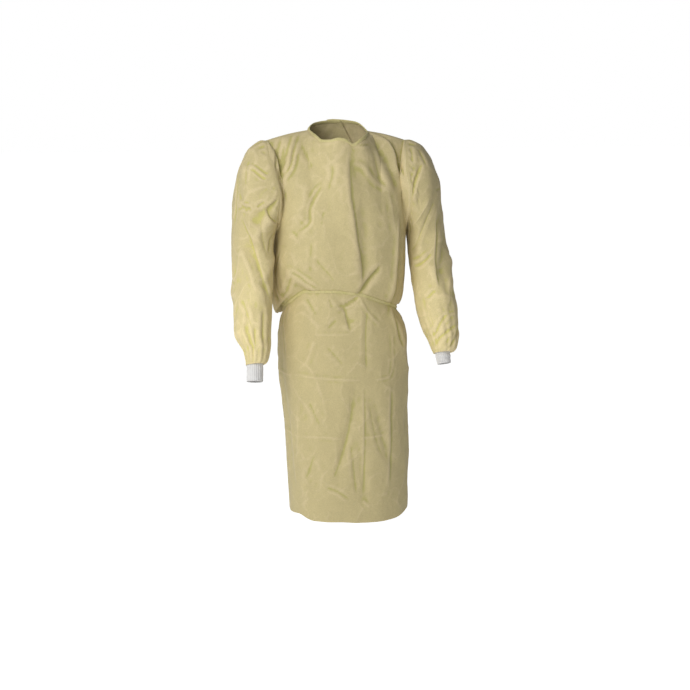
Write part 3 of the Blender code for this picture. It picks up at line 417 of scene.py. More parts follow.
BODY_CREASES = (
    Creases(Face.FRONT, Profile.TUCK, (
        Crease(6, 3, ((11, -28), (0, -68), (-3, -108), (0, -163), (9, -226), (17, -284), (29, -348),
            (32, -399), (26, -441))),
        Crease(4.5, 6, ((60, 10), (114, -11), (137, -30), (148, -63), (149, -88), (163, -121))),
        Crease(5.5, 4.6, ((148, -215), (145, -294), (143, -370), (138, -436), (127, -476))),
        Crease(5.5, 4, ((127, -484), (136, -520), (151, -582), (173, -616))),
        Crease(4.5, 4, ((88, -352), (75, -368), (38, -412), (26, -438))),
        Crease(4.5, 2.8, ((-22, -468), (-13, -506), (-4, -544))),
        Crease(5, 1.6, ((37, -685), (39, -860), (36, -1041))),
        Crease(6, 2.6, ((121, -689), (122, -850), (119, -1020))),
    )),
    Creases(Face.FRONT, Profile.TROUGH, (
        Crease(4, 3, ((24, -29), (66, -29))),
        Crease(7, 5, ((98, 2), (136, -16))),
        Crease(6, 5, ((152, -78), (165, -118))),
        Crease(8, 2.2, ((69, -29), (78, -59), (87, -108), (115, -155))),
        Crease(9, 2.2, ((-121, -8), (-113, -51), (-100, -83), (-100, -102))),
        Crease(4.5, 3, ((-74, -136), (-91, -163), (-108, -201), (-111, -233), (-141, -265))),
        Crease(7, 1.8, ((-50, -70), (-47, -94), (-56, -135), (-59, -154))),
        Crease(9, 1.4, ((-75, -201), (-80, -247))),
        Crease(5.5, 4.5, ((-171, -9), (-185, -43), (-193, -78), (-202, -102))),
        Crease(4, 3.6, ((-134, -26), (-146, -52), (-152, -78), (-164, -102))),
        Crease(7, 1.2, ((-108, -282), (-111, -332), (-112, -384))),
        Crease(9, 2.2, ((-100, -327), (-86, -352), (-53, -389), (-41, -412))),
        Crease(4.5, 4, ((26, -446), (-5, -464), (-22, -470))),
        Crease(5, 4, ((-169, -372), (-149, -382), (-118, -405), (-88, -424))),
        Crease(6, 3.6, ((-158, -380), (-167, -422), (-178, -456))),
        Crease(6, 1.6, ((-121, -446), (-95, -497))),
        Crease(6, 1.6, ((-60, -446), (-52, -476))),
        Crease(6, 1.5, ((-39, -505), (-67, -532))),
        Crease(9, 2.2, ((53, -460), (42, -554), (45, -682))),
        Crease(8, 2.2, ((10, -727), (-10, -853), (-54, -992))),
        Crease(7, 1.8, ((-1, -860), (20, -1040))),
        Crease(7, 1.8, ((51, -738), (76, -865), (103, -933))),
        Crease(6, 1.8, ((-74, -999), (-40, -1012), (-1, -1041))),
        Crease(8, 1.4, ((-70, -580), (-20, -640))),
        Crease(8, 1.6, ((-118, -740), (-86, -820))),
        Crease(7, 1.4, ((-100, -900), (-124, -985))),
    )),
    Creases(Face.FRONT, Profile.RIDGE, (
        Crease(7, 2.8, ((5, -76), (36, -85), (70, -126), (113, -154))),
        Crease(8, 2.2, ((113, -154), (125, -212), (131, -287))),
        Crease(4.5, 4.2, ((-118, 6), (-127, 1), (-149, -38), (-161, -76), (-183, -113))),
        Crease(4.5, 2.6, ((-131, -30), (-139, -55), (-147, -84), (-176, -125))),
        Crease(4.5, 2, ((27, -452), (56, -498), (91, -533))),
        Crease(4, 1.2, ((117, -537), (123, -557), (127, -648), (115, -682), (48, -685))),
        Crease(5, 1.2, ((-145, -733), (-146, -1060))),
        Crease(5, 1.4, ((35, -1044), (59, -1071))),
        Crease(6, 1.4, ((-100, -560), (-125, -640))),
    )),
    Creases(Face.FRONT, Profile.PRESSED, (
        Crease(4, 1.4, ((-165, -668), (-80, -674), (42, -683))),
        Crease(5, 1, ((-110, -549), (10, -549))),
        Crease(4, 1.2, ((-143, -852), (-60, -850), (-16, -854))),
        Crease(4, 1.2, ((20, -856), (110, -852))),
        Crease(4, 1, ((74, -1033), (119, -1034))),
    )),
    Creases(Face.BACK, Profile.TROUGH, (
        Crease(6, 3.4, ((110, 4), (124, -44), (141, -98), (150, -140))),
        Crease(6, 3.4, ((-130, 2), (-142, -46), (-156, -90), (-164, -132))),
        Crease(8, 2.6, ((30, 0), (52, -100), (60, -215), (48, -300))),
        Crease(5, 3.4, ((150, -330), (118, -390), (78, -450))),
        Crease(5, 3.4, ((-152, -340), (-122, -400), (-86, -455))),
        Crease(6, 2.6, ((60, -535), (74, -640))),
        Crease(6, 2.6, ((-70, -530), (-88, -650))),
        Crease(8, 2.4, ((36, -700), (22, -860), (52, -1020))),
        Crease(8, 2, ((-40, -740), (-60, -950))),
    )),
    Creases(Face.BACK, Profile.RIDGE, (
        Crease(6, 3, ((88, 6), (98, -50), (120, -120))),
        Crease(6, 3, ((-98, 6), (-118, -60), (-136, -128))),
        Crease(8, 2.6, ((-46, -10), (-62, -120), (-60, -250))),
        Crease(5, 2.2, ((20, -330), (34, -430))),
        Crease(6, 2.2, ((104, -540), (118, -660))),
        Crease(6, 2.2, ((-118, -535), (-128, -640))),
        Crease(6, 1.6, ((-20, -900), (-8, -1050))),
    )),
    Creases(Face.BACK, Profile.TUCK, (
        Crease(6, 3, ((96, -190), (104, -300), (98, -420))),
        Crease(6, -3, ((-104, -210), (-110, -310), (-100, -430))),
        Crease(5, 1.8, ((108, -690), (112, -860), (108, -1050))),
        Crease(5, -1.8, ((-96, -700), (-98, -880), (-90, -1060))),
    )),
    Creases(Face.BACK, Profile.PRESSED, (
        Crease(4, 1.3, ((-150, -672), (0, -679), (150, -676))),
        Crease(4, 1.2, ((-140, -858), (10, -853))),
        Crease(4, 1.1, ((30, -852), (150, -857))),
        Crease(4, 1, ((-110, -1036), (-20, -1032))),
        Crease(4, 1.1, ((-120, -230), (130, -236))),
    )),
    Creases(Face.LEFT, Profile.TROUGH, (
        Crease(6, 3.2, ((-40, -300), (-22, -400), (-30, -470))),
        Crease(6, 3, ((60, -380), (36, -470))),
        Crease(7, 2.8, ((-30, -515), (-60, -620))),
        Crease(8, 2.6, ((20, -720), (34, -880), (20, -1040))),
    )),
    Creases(Face.LEFT, Profile.RIDGE, (
        Crease(6, 3, ((30, -310), (40, -400), (26, -480))),
        Crease(7, 2.8, ((24, -520), (46, -640))),
        Crease(8, 2.2, ((-60, -760), (-46, -1000))),
    )),
    Creases(Face.LEFT, Profile.PRESSED, (
        Crease(4, 1.2, ((-100, -676), (100, -674))),
        Crease(4, 1.2, ((-90, -856), (80, -852))),
    )),
    Creases(Face.RIGHT, Profile.TROUGH, (
        Crease(6, 3.4, ((-50, -310), (-30, -390), (-44, -470))),
        Crease(6, 3, ((70, -370), (44, -480))),
        Crease(7, 2.8, ((-26, -520), (-52, -630))),
        Crease(8, 2.6, ((10, -700), (26, -860), (12, -1020))),
    )),
    Creases(Face.RIGHT, Profile.RIDGE, (
        Crease(6, 3, ((20, -320), (34, -410), (20, -470))),
        Crease(7, 2.6, ((30, -540), (50, -660))),
        Crease(8, 2.2, ((-52, -800), (-62, -1030))),
    )),
    Creases(Face.RIGHT, Profile.PRESSED, (
        Crease(4, 1.2, ((-96, -672), (90, -678))),
        Crease(4, 1.2, ((-80, -852), (90, -857))),
    )),
)
SLEEVE_CREASES = {
    Side.RIGHT: (
        Creases(Face.FRONT, Profile.RIDGE, (
            Crease(4.5, 3.4, ((-269, -81), (-220, -116))),
            Crease(4.5, 3.2, ((-288, -196), (-270, -190))),
            Crease(6, 3, ((-300, -300), (-280, -360), (-262, -430))),
        )),
        Creases(Face.FRONT, Profile.TROUGH, (
            Crease(4.5, 2.6, ((-262, -88), (-226, -124))),
            Crease(5, 3, ((-263, -67), (-274, -91), (-280, -123), (-281, -145))),
            Crease(6, 3.4, ((-298, -121), (-296, -154), (-288, -186))),
            Crease(4, 3, ((-298, -207), (-279, -194), (-263, -210))),
            Crease(4, 3, ((-292, -185), (-274, -210))),
            Crease(5, 3.6, ((-252, -196), (-230, -178))),
            Crease(7, 2.2, ((-247, -216), (-237, -282), (-224, -335))),
            Crease(5, 3.2, ((-196, -262), (-214, -290), (-220, -330))),
            Crease(5, 2.8, ((-273, -510), (-274, -585))),
            Crease(6, 2.6, ((-300, -440), (-280, -520))),
            Crease(5, 2.4, ((-246, -470), (-252, -560))),
        )),
        Creases(Face.FRONT, Profile.TUCK, (
            Crease(5, 4.4, ((-191, -168), (-225, -202), (-219, -222), (-192, -246))),
            Crease(5, -3.6, ((-294, -215), (-283, -245), (-267, -281), (-252, -339), (-236, -400),
                (-220, -453))),
        )),
        Creases(Face.BACK, Profile.TROUGH, (
            Crease(6, 4, ((-216, -50), (-250, -120), (-262, -180))),
            Crease(5, 3.6, ((-206, -230), (-250, -270))),
            Crease(6, 3.2, ((-296, -330), (-240, -420))),
            Crease(6, 3, ((-290, -430), (-256, -520))),
        )),
        Creases(Face.BACK, Profile.RIDGE, (
            Crease(6, 3.4, ((-236, -60), (-280, -150))),
        )),
        Creases(Face.BACK, Profile.TUCK, (
            Crease(6, 3.6, ((-286, -210), (-262, -290), (-230, -350))),
        )),
        Creases(Face.RIGHT, Profile.TROUGH, (
            Crease(6, 3.4, ((10, -100), (-16, -180), (-10, -260))),
            Crease(5, 3.4, ((40, -360), (-6, -404), (-50, -412))),
            Crease(6, 3, ((-50, -450), (-110, -540))),
        )),
        Creases(Face.RIGHT, Profile.RIDGE, (
            Crease(6, 3, ((40, -140), (20, -250))),
        )),
        Creases(Face.RIGHT, Profile.TUCK, (
            Crease(6, 3.4, ((-60, -300), (-40, -400))),
        )),
    ),
    Side.LEFT: (
        Creases(Face.FRONT, Profile.TUCK, (
            Crease(4.8, -5, ((224, -80), (201, -128), (190, -164), (180, -197))),
            Crease(5, 4.2, ((266, -188), (262, -281), (252, -367), (259, -439))),
        )),
        Creases(Face.FRONT, Profile.RIDGE, (
            Crease(4.8, 3.4, ((208, -86), (190, -124), (182, -156))),
            Crease(6, 3, ((240, -170), (214, -220), (190, -267))),
            Crease(4.8, 3.4, ((236, -330), (196, -368))),
            Crease(4.2, 1.8, ((281, -503), (308, -504))),
            Crease(6, 2.4, ((294, -400), (284, -480))),
        )),
        Creases(Face.FRONT, Profile.TROUGH, (
            Crease(6, 3.4, ((194, -34), (191, -81))),
            Crease(6, 3, ((216, -42), (232, -90))),
            Crease(6, 3, ((256, -180), (236, -224), (208, -300), (190, -350))),
            Crease(4.8, 3.4, ((244, -334), (200, -378))),
            Crease(4.8, 3.4, ((248, -433), (224, -462))),
            Crease(6, 5.2, ((308, -530), (276, -546), (250, -570), (238, -602))),
            Crease(5.5, 5.2, ((322, -536), (302, -564), (272, -602))),
            Crease(5, 4.2, ((282, -496), (254, -526), (236, -570))),
            Crease(4.2, 2.6, ((285, -156), (262, -160))),
            Crease(6, 2.4, ((226, -480), (240, -550))),
        )),
        Creases(Face.FRONT, Profile.PRESSED, (
            Crease(4, 1.4, ((263, -301), (300, -302))),
        )),
        Creases(Face.BACK, Profile.TROUGH, (
            Crease(6, 4, ((204, -50), (236, -120), (250, -190))),
            Crease(5, 3.6, ((204, -240), (250, -280))),
            Crease(6, 3.2, ((296, -330), (240, -420))),
            Crease(6, 3, ((290, -430), (256, -520))),
        )),
        Creases(Face.BACK, Profile.RIDGE, (
            Crease(6, 3.4, ((226, -60), (266, -150))),
        )),
        Creases(Face.BACK, Profile.TUCK, (
            Crease(6, -3.6, ((286, -220), (258, -300), (224, -360))),
        )),
        Creases(Face.LEFT, Profile.TROUGH, (
            Crease(6, 3.4, ((10, -110), (-14, -190), (-8, -280))),
            Crease(5, 3.4, ((40, -350), (-6, -396), (-56, -402))),
            Crease(6, 3, ((-60, -440), (-116, -530))),
        )),
        Creases(Face.LEFT, Profile.RIDGE, (
            Crease(6, 3, ((40, -150), (18, -260))),
        )),
        Creases(Face.LEFT, Profile.TUCK, (
            Crease(6, 3.4, ((-50, -300), (-34, -390))),
        )),
    ),
}


def smooth(places: Grid, values: Grid, at: Grid) -> Grid:
    """Read a smooth curve through the values, with no overshoot between their places.

    Args:
        places: Rising numbers, one for each row of values.
        values: A row of numbers for each place.
        at: Where to read.

    Returns:
        One row for each number in at.
    """
    places = np.asarray(places, float)
    values = np.asarray(values, float)
    at = np.atleast_1d(np.asarray(at, float))
    step = np.diff(places)[:, None]
    rise = np.diff(values, axis=0) / step
    before, after = rise[:-1], rise[1:]
    both = before + after
    level = (before * after <= 0) | (both == 0)
    slope = np.zeros_like(values)
    slope[1:-1] = np.where(level, 0.0, 2 * before * after / np.where(level, 1.0, both))
    slope[0], slope[-1] = rise[0], rise[-1]
    i = np.clip(np.searchsorted(places, at, side="right") - 1, 0, len(step) - 1)
    t = ((at - places[i]) / step[i, 0])[:, None]
    return hermite(values[i], slope[i] * step[i], values[i + 1], slope[i + 1] * step[i], t)


def hermite(start: Grid, leaving: Grid, end: Grid, arriving: Grid, t: Grid) -> Grid:
    """The cubic between two points with the given tangents."""
    a = (1 + 2 * t) * (1 - t) ** 2
    b = t * (1 - t) ** 2
    c = t**2 * (3 - 2 * t)
    d = t**2 * (t - 1)
    return a * start + b * leaving + c * end + d * arriving


def ramp(value: Grid | float, start: float | Grid, end: float | Grid) -> Grid:
    """A soft step from 0 at start to 1 at end."""
    t = np.clip((value - start) / (end - start), 0.0, 1.0)
    return t * t * (3 - 2 * t)


def lengths_along(path: Grid) -> Grid:
    """How far along a path each of its points lies."""
    return np.concatenate([[0], np.cumsum(np.linalg.norm(np.diff(path, axis=0), axis=1))])


def unit(vectors: Grid) -> Grid:
    """The same directions, one metre long."""
    return vectors / np.maximum(np.linalg.norm(vectors, axis=-1, keepdims=True), 1e-12)


def numbers(table: tuple) -> Grid:
    """The numbers of a table's rows, without the name in front and the count of rows."""
    return np.array([row[1:-1] for row in table], float)


def around(table: tuple[Place, ...], turn: float) -> Grid:
    """A point of a closed edge at a turn."""
    rows = np.array(table, float) / [1, MM_PER_METRE, MM_PER_METRE, MM_PER_METRE]
    laps = np.concatenate([rows - [TURN, 0, 0, 0], rows, rows + [TURN, 0, 0, 0]])
    return smooth(laps[:, 0], laps[:, 1:], turn)[0]


def fine_rows(table: tuple, row_height: float, least: int, passed: int) -> tuple[Grid, Grid]:
    """Where each fine row of a part lies, in the table's rows and in the solid's rows."""
    at, rows = [], []
    for index, (row, following) in enumerate(zip(table, table[1:])):
        count = max(least, math.ceil(abs(following.height - row.height) / row_height))
        at += [index + k / count for k in range(count)]
        rows += [passed + k / count * row.rows_above for k in range(count)]
        passed += row.rows_above
    return np.array([*at, len(table) - 1]), np.array([*rows, passed])


def grid_normals(points: Grid, closed: bool) -> Grid:
    """The outward direction at each point of a grid whose columns climb and run left."""
    if closed:
        across = np.roll(points, -1, axis=1) - np.roll(points, 1, axis=1)
    else:
        across = np.gradient(points, axis=1)
    return unit(np.cross(across, np.gradient(points, axis=0)))


def fold_rise(folds: tuple[Fold, ...], turn: Grid, height: Grid, arc: float) -> Grid:
    """How far the large folds move the cloth out.

    Args:
        folds: The folds.
        turn: The turn of each point, in degrees.
        height: The height of each point.
        arc: The radius that makes a turn a length.

    Returns:
        The rise at each point.
    """
    rise = np.zeros_like(height)
    for fold in folds:
        low, high, width, top = (
            length / MM_PER_METRE
            for length in (fold.first_height, fold.last_height, fold.width, fold.rise)
        )
        run = (fold.last_turn - fold.first_turn) * math.radians(1) * arc
        fall = high - low
        length = math.hypot(run, fall)
        offset = (turn - fold.first_turn + TURN / 2) % TURN - TURN / 2
        side = np.radians(offset) * arc
        up = height - low
        along = (side * run + up * fall) / length**2
        away = (side * fall - up * run) / length
        fade = ramp(along, -FOLD_FADE_OUT, FOLD_FADE_IN)
        fade *= ramp(1 - along, -FOLD_FADE_OUT, FOLD_FADE_IN)
        rise += top * np.exp(-((away / width) ** 2)) * fade
    return rise


@dataclass(frozen=True)
class CreaseMaker:
    """Lays creases on a grid of points."""

    reach: float = 9.0
    path_points: int = 5
    taper: float = 0.24
    strength: float = 0.85
    turned_away: float = 0.05
    facing_full: float = 0.40

    def rise(self, sets: tuple[Creases, ...], points: Grid, normals: Grid) -> Grid:
        """How far sets of creases move each point out.

        Args:
            sets: The creases.
            points: A grid of points.
            normals: The outward directions there.

        Returns:
            The rise at each point.
        """
        total = np.zeros(points.shape[:-1])
        for face, profile, rows in sets:
            axis, facing = face.value
            flat = points[..., [axis, 2]]
            looks = ramp(normals @ np.array(facing), self.turned_away, self.facing_full)
            for row in rows:
                width, top = row.width / MM_PER_METRE, row.rise / MM_PER_METRE
                path = self.soft_path(np.array(row.path) / MM_PER_METRE)
                room = width * self.reach
                near = (flat > path.min(axis=0) - room) & (flat < path.max(axis=0) + room)
                near = near.all(axis=-1) & (looks > 0)
                if near.any():
                    across, along = self.across_and_along(path, flat[near])
                    fade = ramp(along, 0, self.taper) * ramp(-along, -1, self.taper - 1)
                    shape = self.across_shape(profile, across / width) * fade
                    total[near] += self.strength * top * shape * looks[near]
        return total

    def soft_path(self, path: Grid) -> Grid:
        """A smooth line through the points of a crease's path."""
        places = lengths_along(path)
        count = (len(path) - 1) * self.path_points + 1
        return smooth(places, path, np.linspace(0, places[-1], count))

    @staticmethod
    def across_and_along(path: Grid, flat: Grid) -> tuple[Grid, Grid]:
        """The signed distance from a path and the share of its length, at each point."""
        lengths = np.linalg.norm(np.diff(path, axis=0), axis=1)
        nearest = np.full(len(flat), np.inf)
        across = np.zeros(len(flat))
        along = np.zeros(len(flat))
        passed = 0.0
        for first, second, length in zip(path, path[1:], lengths):
            way = (second - first) / length
            offset = flat - first
            reached = np.clip(offset @ way, 0, length)
            distance = np.linalg.norm(offset - reached[:, None] * way, axis=1)
            side = np.where(offset @ np.array([-way[1], way[0]]) < 0, -1.0, 1.0)
            closer = distance < nearest
            nearest = np.where(closer, distance, nearest)
            across = np.where(closer, side * distance, across)
            along = np.where(closer, (passed + reached) / lengths.sum(), along)
            passed += length
        return across, along

    @staticmethod
    def across_shape(profile: Profile, q: Grid) -> Grid:
        """The height of a profile, with q counted in its widths."""
        away = np.abs(q)
        line = np.exp(-1.35 * away**1.15)
        if profile is Profile.RIDGE:
            return line - 0.25 * np.exp(-(((away - 1.9) / 0.8) ** 2))
        if profile is Profile.TROUGH:
            return -line + 0.30 * np.exp(-(((away - 1.7) / 0.8) ** 2))
        if profile is Profile.TUCK:
            return -np.tanh(2.4 * q) * np.exp(-((q / 4.0) ** 2))
        return 1.5 * np.exp(-1.2 * away)


@dataclass(frozen=True)
class Crumple:
    """The slight unevenness that handling leaves all over thin cloth."""

    cell: float
    rise: float
    seed: float
    squash: float = 0.75

    def at(self, points: Grid) -> Grid:
        """The rise at each point: flat cells with soft ridges between them."""
        flat = points.reshape(-1, 3) / self.cell + self.seed
        flat[:, 2] *= self.squash
        found = np.array([abs(noise.noise(Vector(p))) for p in flat])
        return self.rise * (0.25 - found).reshape(points.shape[:-1]) * 2.0


@dataclass(frozen=True)
class Surface:
    """A grid of cloth: its points, outward directions and how it closes."""

    points: Grid
    normals: Grid
    closed: bool


@dataclass(frozen=True)
class ClothFinish:
    """A thin bonded nonwoven, with a fine mottle, a soft emboss and low sheen, with painted shade in
    the hollows of its creases and a painted highlight on their crests.
    """

    name: str = "nonwoven"
    base: Colour = (0.575, 0.487, 0.250)
    # deep is the painted shade in the hollows of creases, lit is the painted highlight on their
    # crests.
    deep: Colour = (0.42, 0.40, 0.100)
    lit: Colour = (0.69, 0.575, 0.335)
    mottle_per_metre: float = 330.0
    cloud_per_metre: float = 34.0
    mottle_depth: float = 0.11
    cloud_depth: float = 0.035
    wrinkle_per_metre: float = 62.0
    wrinkle_depth: float = 0.0006
    emboss_per_metre: float = 620.0
    emboss_depth: float = 0.00010
    fibre_depth: float = 0.00010
    roughness: float = 0.74
    sheen: float = 0.12
    # Painted light: the colour grows this much paler between these two heights, down towards the
    # wrists.
    painted_light_by: float = 0.0
    painted_light_from: float = -0.24
    painted_light_to: float = -0.48

    def material(self) -> Material:
        """Build the finish as a material.

        Returns:
            The cloth. When painted_light_by is set, painted light makes it paler lower down, where a
            single layer hangs clear of the body and light shines through it.
        """
        nodes = Nodes(self.name)
        place = nodes.object_place()
        sheet = nodes.cloth_place()
        mottle = nodes.noise(place, self.mottle_per_metre, detail=3.0, rough=0.7)
        cloud = nodes.noise(place, self.cloud_per_metre, detail=2.0, rough=0.5)
        relief = nodes.relief()
        # Painted shade: darker and greener in the hollows of creases; painted highlight: lighter on
        # their crests.
        hollow_shade = nodes.stretch(relief, 0.2, 0.9, 0.0, 0.55)
        crest_highlight = nodes.stretch(relief, -0.2, -0.9, 0.0, 0.55)
        colour = nodes.blend(hollow_shade, self.base, self.deep)
        colour = nodes.blend(crest_highlight, colour, self.lit)
        shade = nodes.stretch(mottle, 0.25, 0.75, 1 - self.mottle_depth, 1 + self.mottle_depth)
        colour = nodes.scale_colour(colour, shade)
        shade = nodes.stretch(cloud, 0.3, 0.7, 1 - self.cloud_depth, 1 + self.cloud_depth / 2)
        colour = nodes.scale_colour(colour, shade)
        # Painted light: paler lower down the sleeve, where light shines through the single layer.
        if self.painted_light_by:
            height = nodes.add("ShaderNodeSeparateXYZ", {0: place})["Z"]
            most = 1 + self.painted_light_by
            painted_light = nodes.stretch(height, self.painted_light_to, self.painted_light_from, most, 1.0)
            colour = nodes.scale_colour(colour, painted_light)
        wrinkle = nodes.noise(
            place, self.wrinkle_per_metre, detail=3.0, rough=0.55, kind="RIDGED_MULTIFRACTAL"
        )
        emboss = nodes.cells(sheet, self.emboss_per_metre)
        bump = nodes.bump(wrinkle, self.wrinkle_depth)
        bump = nodes.bump(emboss, self.emboss_depth, bump)
        bump = nodes.bump(mottle, self.fibre_depth, bump)
        return nodes.finish(colour, self.roughness, bump, sheen=self.sheen)


@dataclass(frozen=True)
class TapeFinish:
    """The folded tape of the binding and the ties, a little clearer than the cloth."""

    name: str = "folded tape"
    base: Colour = (0.61, 0.535, 0.255)
    deep: Colour = (0.50, 0.46, 0.165)
    streaks_per_metre: float = 300.0
    streak_depth: float = 0.12
    grain_depth: float = 0.00025
    roughness: float = 0.68
    sheen: float = 0.12

    def material(self) -> Material:
        """Build the finish as a material."""
        nodes = Nodes(self.name)
        place = nodes.object_place()
        grain = nodes.noise(place, self.streaks_per_metre, detail=3.0, rough=0.6)
        cloud = nodes.noise(place, self.streaks_per_metre / 7, detail=2.0, rough=0.5)
        colour = nodes.blend(nodes.stretch(cloud, 0.45, 0.8, 0.0, 0.8), self.base, self.deep)
        shade = nodes.stretch(grain, 0.25, 0.75, 1 - self.streak_depth, 1 + self.streak_depth)
        colour = nodes.scale_colour(colour, shade)
        bump = nodes.bump(cloud, self.grain_depth * 3)
        bump = nodes.bump(grain, self.grain_depth, bump)
        return nodes.finish(colour, self.roughness, bump, sheen=self.sheen)


@dataclass(frozen=True)
class KnitFinish:
    """White rib knit with its loops as fine relief along the ribs, and painted shade in the hollows of
    its ribs and between its loops.
    """

    name: str = "rib knit"
    base: Colour = (0.98, 0.968, 0.948)
    deep: Colour = (0.86, 0.85, 0.83)
    loops_per_metre: float = 620.0
    loop_depth: float = 0.0004
    fuzz_per_metre: float = 900.0
    fuzz_depth: float = 0.00012
    roughness: float = 0.85
    sheen: float = 0.25

    def material(self) -> Material:
        """Build the finish as a material."""
        nodes = Nodes(self.name)
        place = nodes.object_place()
        sheet = nodes.cloth_place()
        loops = nodes.bands(sheet, self.loops_per_metre)
        fuzz = nodes.noise(place, self.fuzz_per_metre, detail=2.0, rough=0.6)
        # Painted shade: darker in the hollows of the ribs and in the dips between the loops.
        relief = nodes.relief()
        hollow_shade = nodes.stretch(relief, 0.0, 1.0, 0.0, 0.8)
        colour = nodes.blend(hollow_shade, self.base, self.deep)
        colour = nodes.scale_colour(colour, nodes.stretch(loops, 0.0, 1.0, 0.90, 1.02))
        bump = nodes.bump(loops, self.loop_depth)
        bump = nodes.bump(fuzz, self.fuzz_depth, bump)
        return nodes.finish(colour, self.roughness, bump, sheen=self.sheen)


@dataclass(frozen=True)
class ThreadFinish:
    """Pale spun thread."""

    name: str = "pale thread"
    base: Colour = (0.78, 0.72, 0.46)
    twist_per_metre: float = 1800.0
    twist_depth: float = 0.00008
    roughness: float = 0.6

    def material(self) -> Material:
        """Build the finish as a material."""
        nodes = Nodes(self.name)
        place = nodes.object_place()
        twist = nodes.noise(place, self.twist_per_metre, detail=1.0, rough=0.5)
        colour = nodes.scale_colour(self.base, nodes.stretch(twist, 0.3, 0.7, 0.88, 1.05))
        return nodes.finish(colour, self.roughness, nodes.bump(twist, self.twist_depth), sheen=0.1)


def give(tree: Tree, node: bpy.types.Node, values: dict[str | int, object]) -> None:
    """Link a node's inputs to other sockets, or give them plain values."""
    for name, value in values.items():
        socket = node.inputs[name]
        if isinstance(value, Socket):
            tree.links.new(value, socket)
        else:
            socket.default_value = (*value, 1.0) if socket.type == "RGBA" else value


def add_node(
    tree: Tree, kind: str, values: dict[str | int, object] | None = None, **settings: object
) -> bpy.types.bpy_prop_collection:
    """Add a node.

    Args:
        tree: Where to add it.
        kind: Which node.
        values: What its inputs are linked to or given.
        settings: Its own settings, set before its inputs.

    Returns:
        Its outputs.
    """
    node = tree.nodes.new(kind)
    for name, setting in settings.items():
        setattr(node, name, setting)
    give(tree, node, values or {})
    return node.outputs


class Nodes:
    """Builds the nodes of one material."""

    def __init__(self, name: str) -> None:
        """Start a material with its Principled shader."""
        self.made = bpy.data.materials.new(name)
        self.made.use_nodes = True
        self.tree = self.made.node_tree
        self.shader = self.tree.nodes["Principled BSDF"]
        self.add = partial(add_node, self.tree)

    def object_place(self) -> Socket:
        """The place on the piece in metres."""
        return self.add("ShaderNodeTexCoord")["Object"]

    def cloth_place(self) -> Socket:
        """The place along the cloth in metres."""
        return self.add("ShaderNodeUVMap", uv_map="cloth")["UV"]

    def relief(self) -> Socket:
        """How hollow the cloth is, as stored on the points of the piece."""
        return self.add("ShaderNodeAttribute", attribute_name="relief")["Fac"]

    def noise(
        self, place: Socket, scale: float, detail: float, rough: float, kind: str = "FBM"
    ) -> Socket:
        """Cloudy noise."""
        values = {"Vector": place, "Scale": scale, "Detail": detail, "Roughness": rough}
        return self.add("ShaderNodeTexNoise", values, noise_type=kind)["Fac"]

    def cells(self, place: Socket, scale: float) -> Socket:
        """The distance from the middle of small even cells."""
        values = {"Vector": place, "Scale": scale, "Randomness": 0.35}
        return self.add("ShaderNodeTexVoronoi", values, voronoi_dimensions="2D")["Distance"]

    def bands(self, place: Socket, scale: float) -> Socket:
        """Soft bands across the length of the cloth."""
        values = {"Vector": place, "Scale": scale / 2, "Distortion": 1.2, "Detail Scale": 1.0}
        return self.add("ShaderNodeTexWave", values, bands_direction="Y")["Fac"]

    def stretch(self, value: Socket, low: float, high: float, first: float, last: float) -> Socket:
        """Map a range of numbers to another one, held at both ends."""
        values = {"Value": value, "From Min": low, "From Max": high}
        values |= {"To Min": first, "To Max": last}
        return self.add("ShaderNodeMapRange", values, clamp=True)["Result"]

    def blend(self, share: Socket, first: Colour | Socket, second: Colour) -> Socket:
        """Go from one colour to another."""
        return self.add("ShaderNodeMix", {0: share, 6: first, 7: second}, data_type="RGBA")[2]

    def scale_colour(self, colour: Colour | Socket, share: Socket) -> Socket:
        """Make a colour lighter or darker."""
        values = {0: colour, "Scale": share}
        return self.add("ShaderNodeVectorMath", values, operation="SCALE")[0]

    def bump(self, height: Socket, depth: float, over: Socket | None = None) -> Socket:
        """Fine relief, on top of coarser relief where there is some."""
        values = {"Strength": 1.0, "Distance": depth, "Height": height}
        if over is not None:
            values["Normal"] = over
        return self.add("ShaderNodeBump", values)["Normal"]

    def finish(self, colour: Socket, roughness: float, bump: Socket, sheen: float) -> Material:
        """Join the parts to the shader."""
        values = {"Base Color": colour, "Normal": bump, "Roughness": roughness}
        values |= {"Specular IOR Level": 0.3, "Sheen Weight": sheen, "Sheen Roughness": 0.5}
        give(self.tree, self.shader, values)
        return self.made


def grid_relief(points: Grid, normals: Grid, closed: bool, full: float) -> Grid:
    """How hollow the cloth is at each point, from -1 on a crest to 1 in a hollow.

    Args:
        points: The grid.
        normals: Its outward directions.
        closed: Whether its columns run all round.
        full: The hollow depth, over a few points, that counts as 1.

    Returns:
        A number for each point.
    """
    total = np.zeros(points.shape[:-1])
    for reach in (1, 2):
        padded = np.pad(points, ((reach, reach), (0, 0), (0, 0)), mode="edge")
        mode = "wrap" if closed else "edge"
        padded = np.pad(padded, ((0, 0), (reach, reach), (0, 0)), mode=mode)
        rows, columns = points.shape[:2]
        level = padded[reach : reach + rows]
        beside = (level[:, : columns] + level[:, 2 * reach : 2 * reach + columns]) / 2
        upright = padded[:, reach : reach + columns]
        over = (upright[:rows] + upright[2 * reach : 2 * reach + rows]) / 2
        bend = np.sum((beside + over - 2 * points) * normals, axis=-1)
        bend[[0, -1]] = 0.0
        total += bend / (full * reach)
    return np.clip(total, -1.0, 1.0)


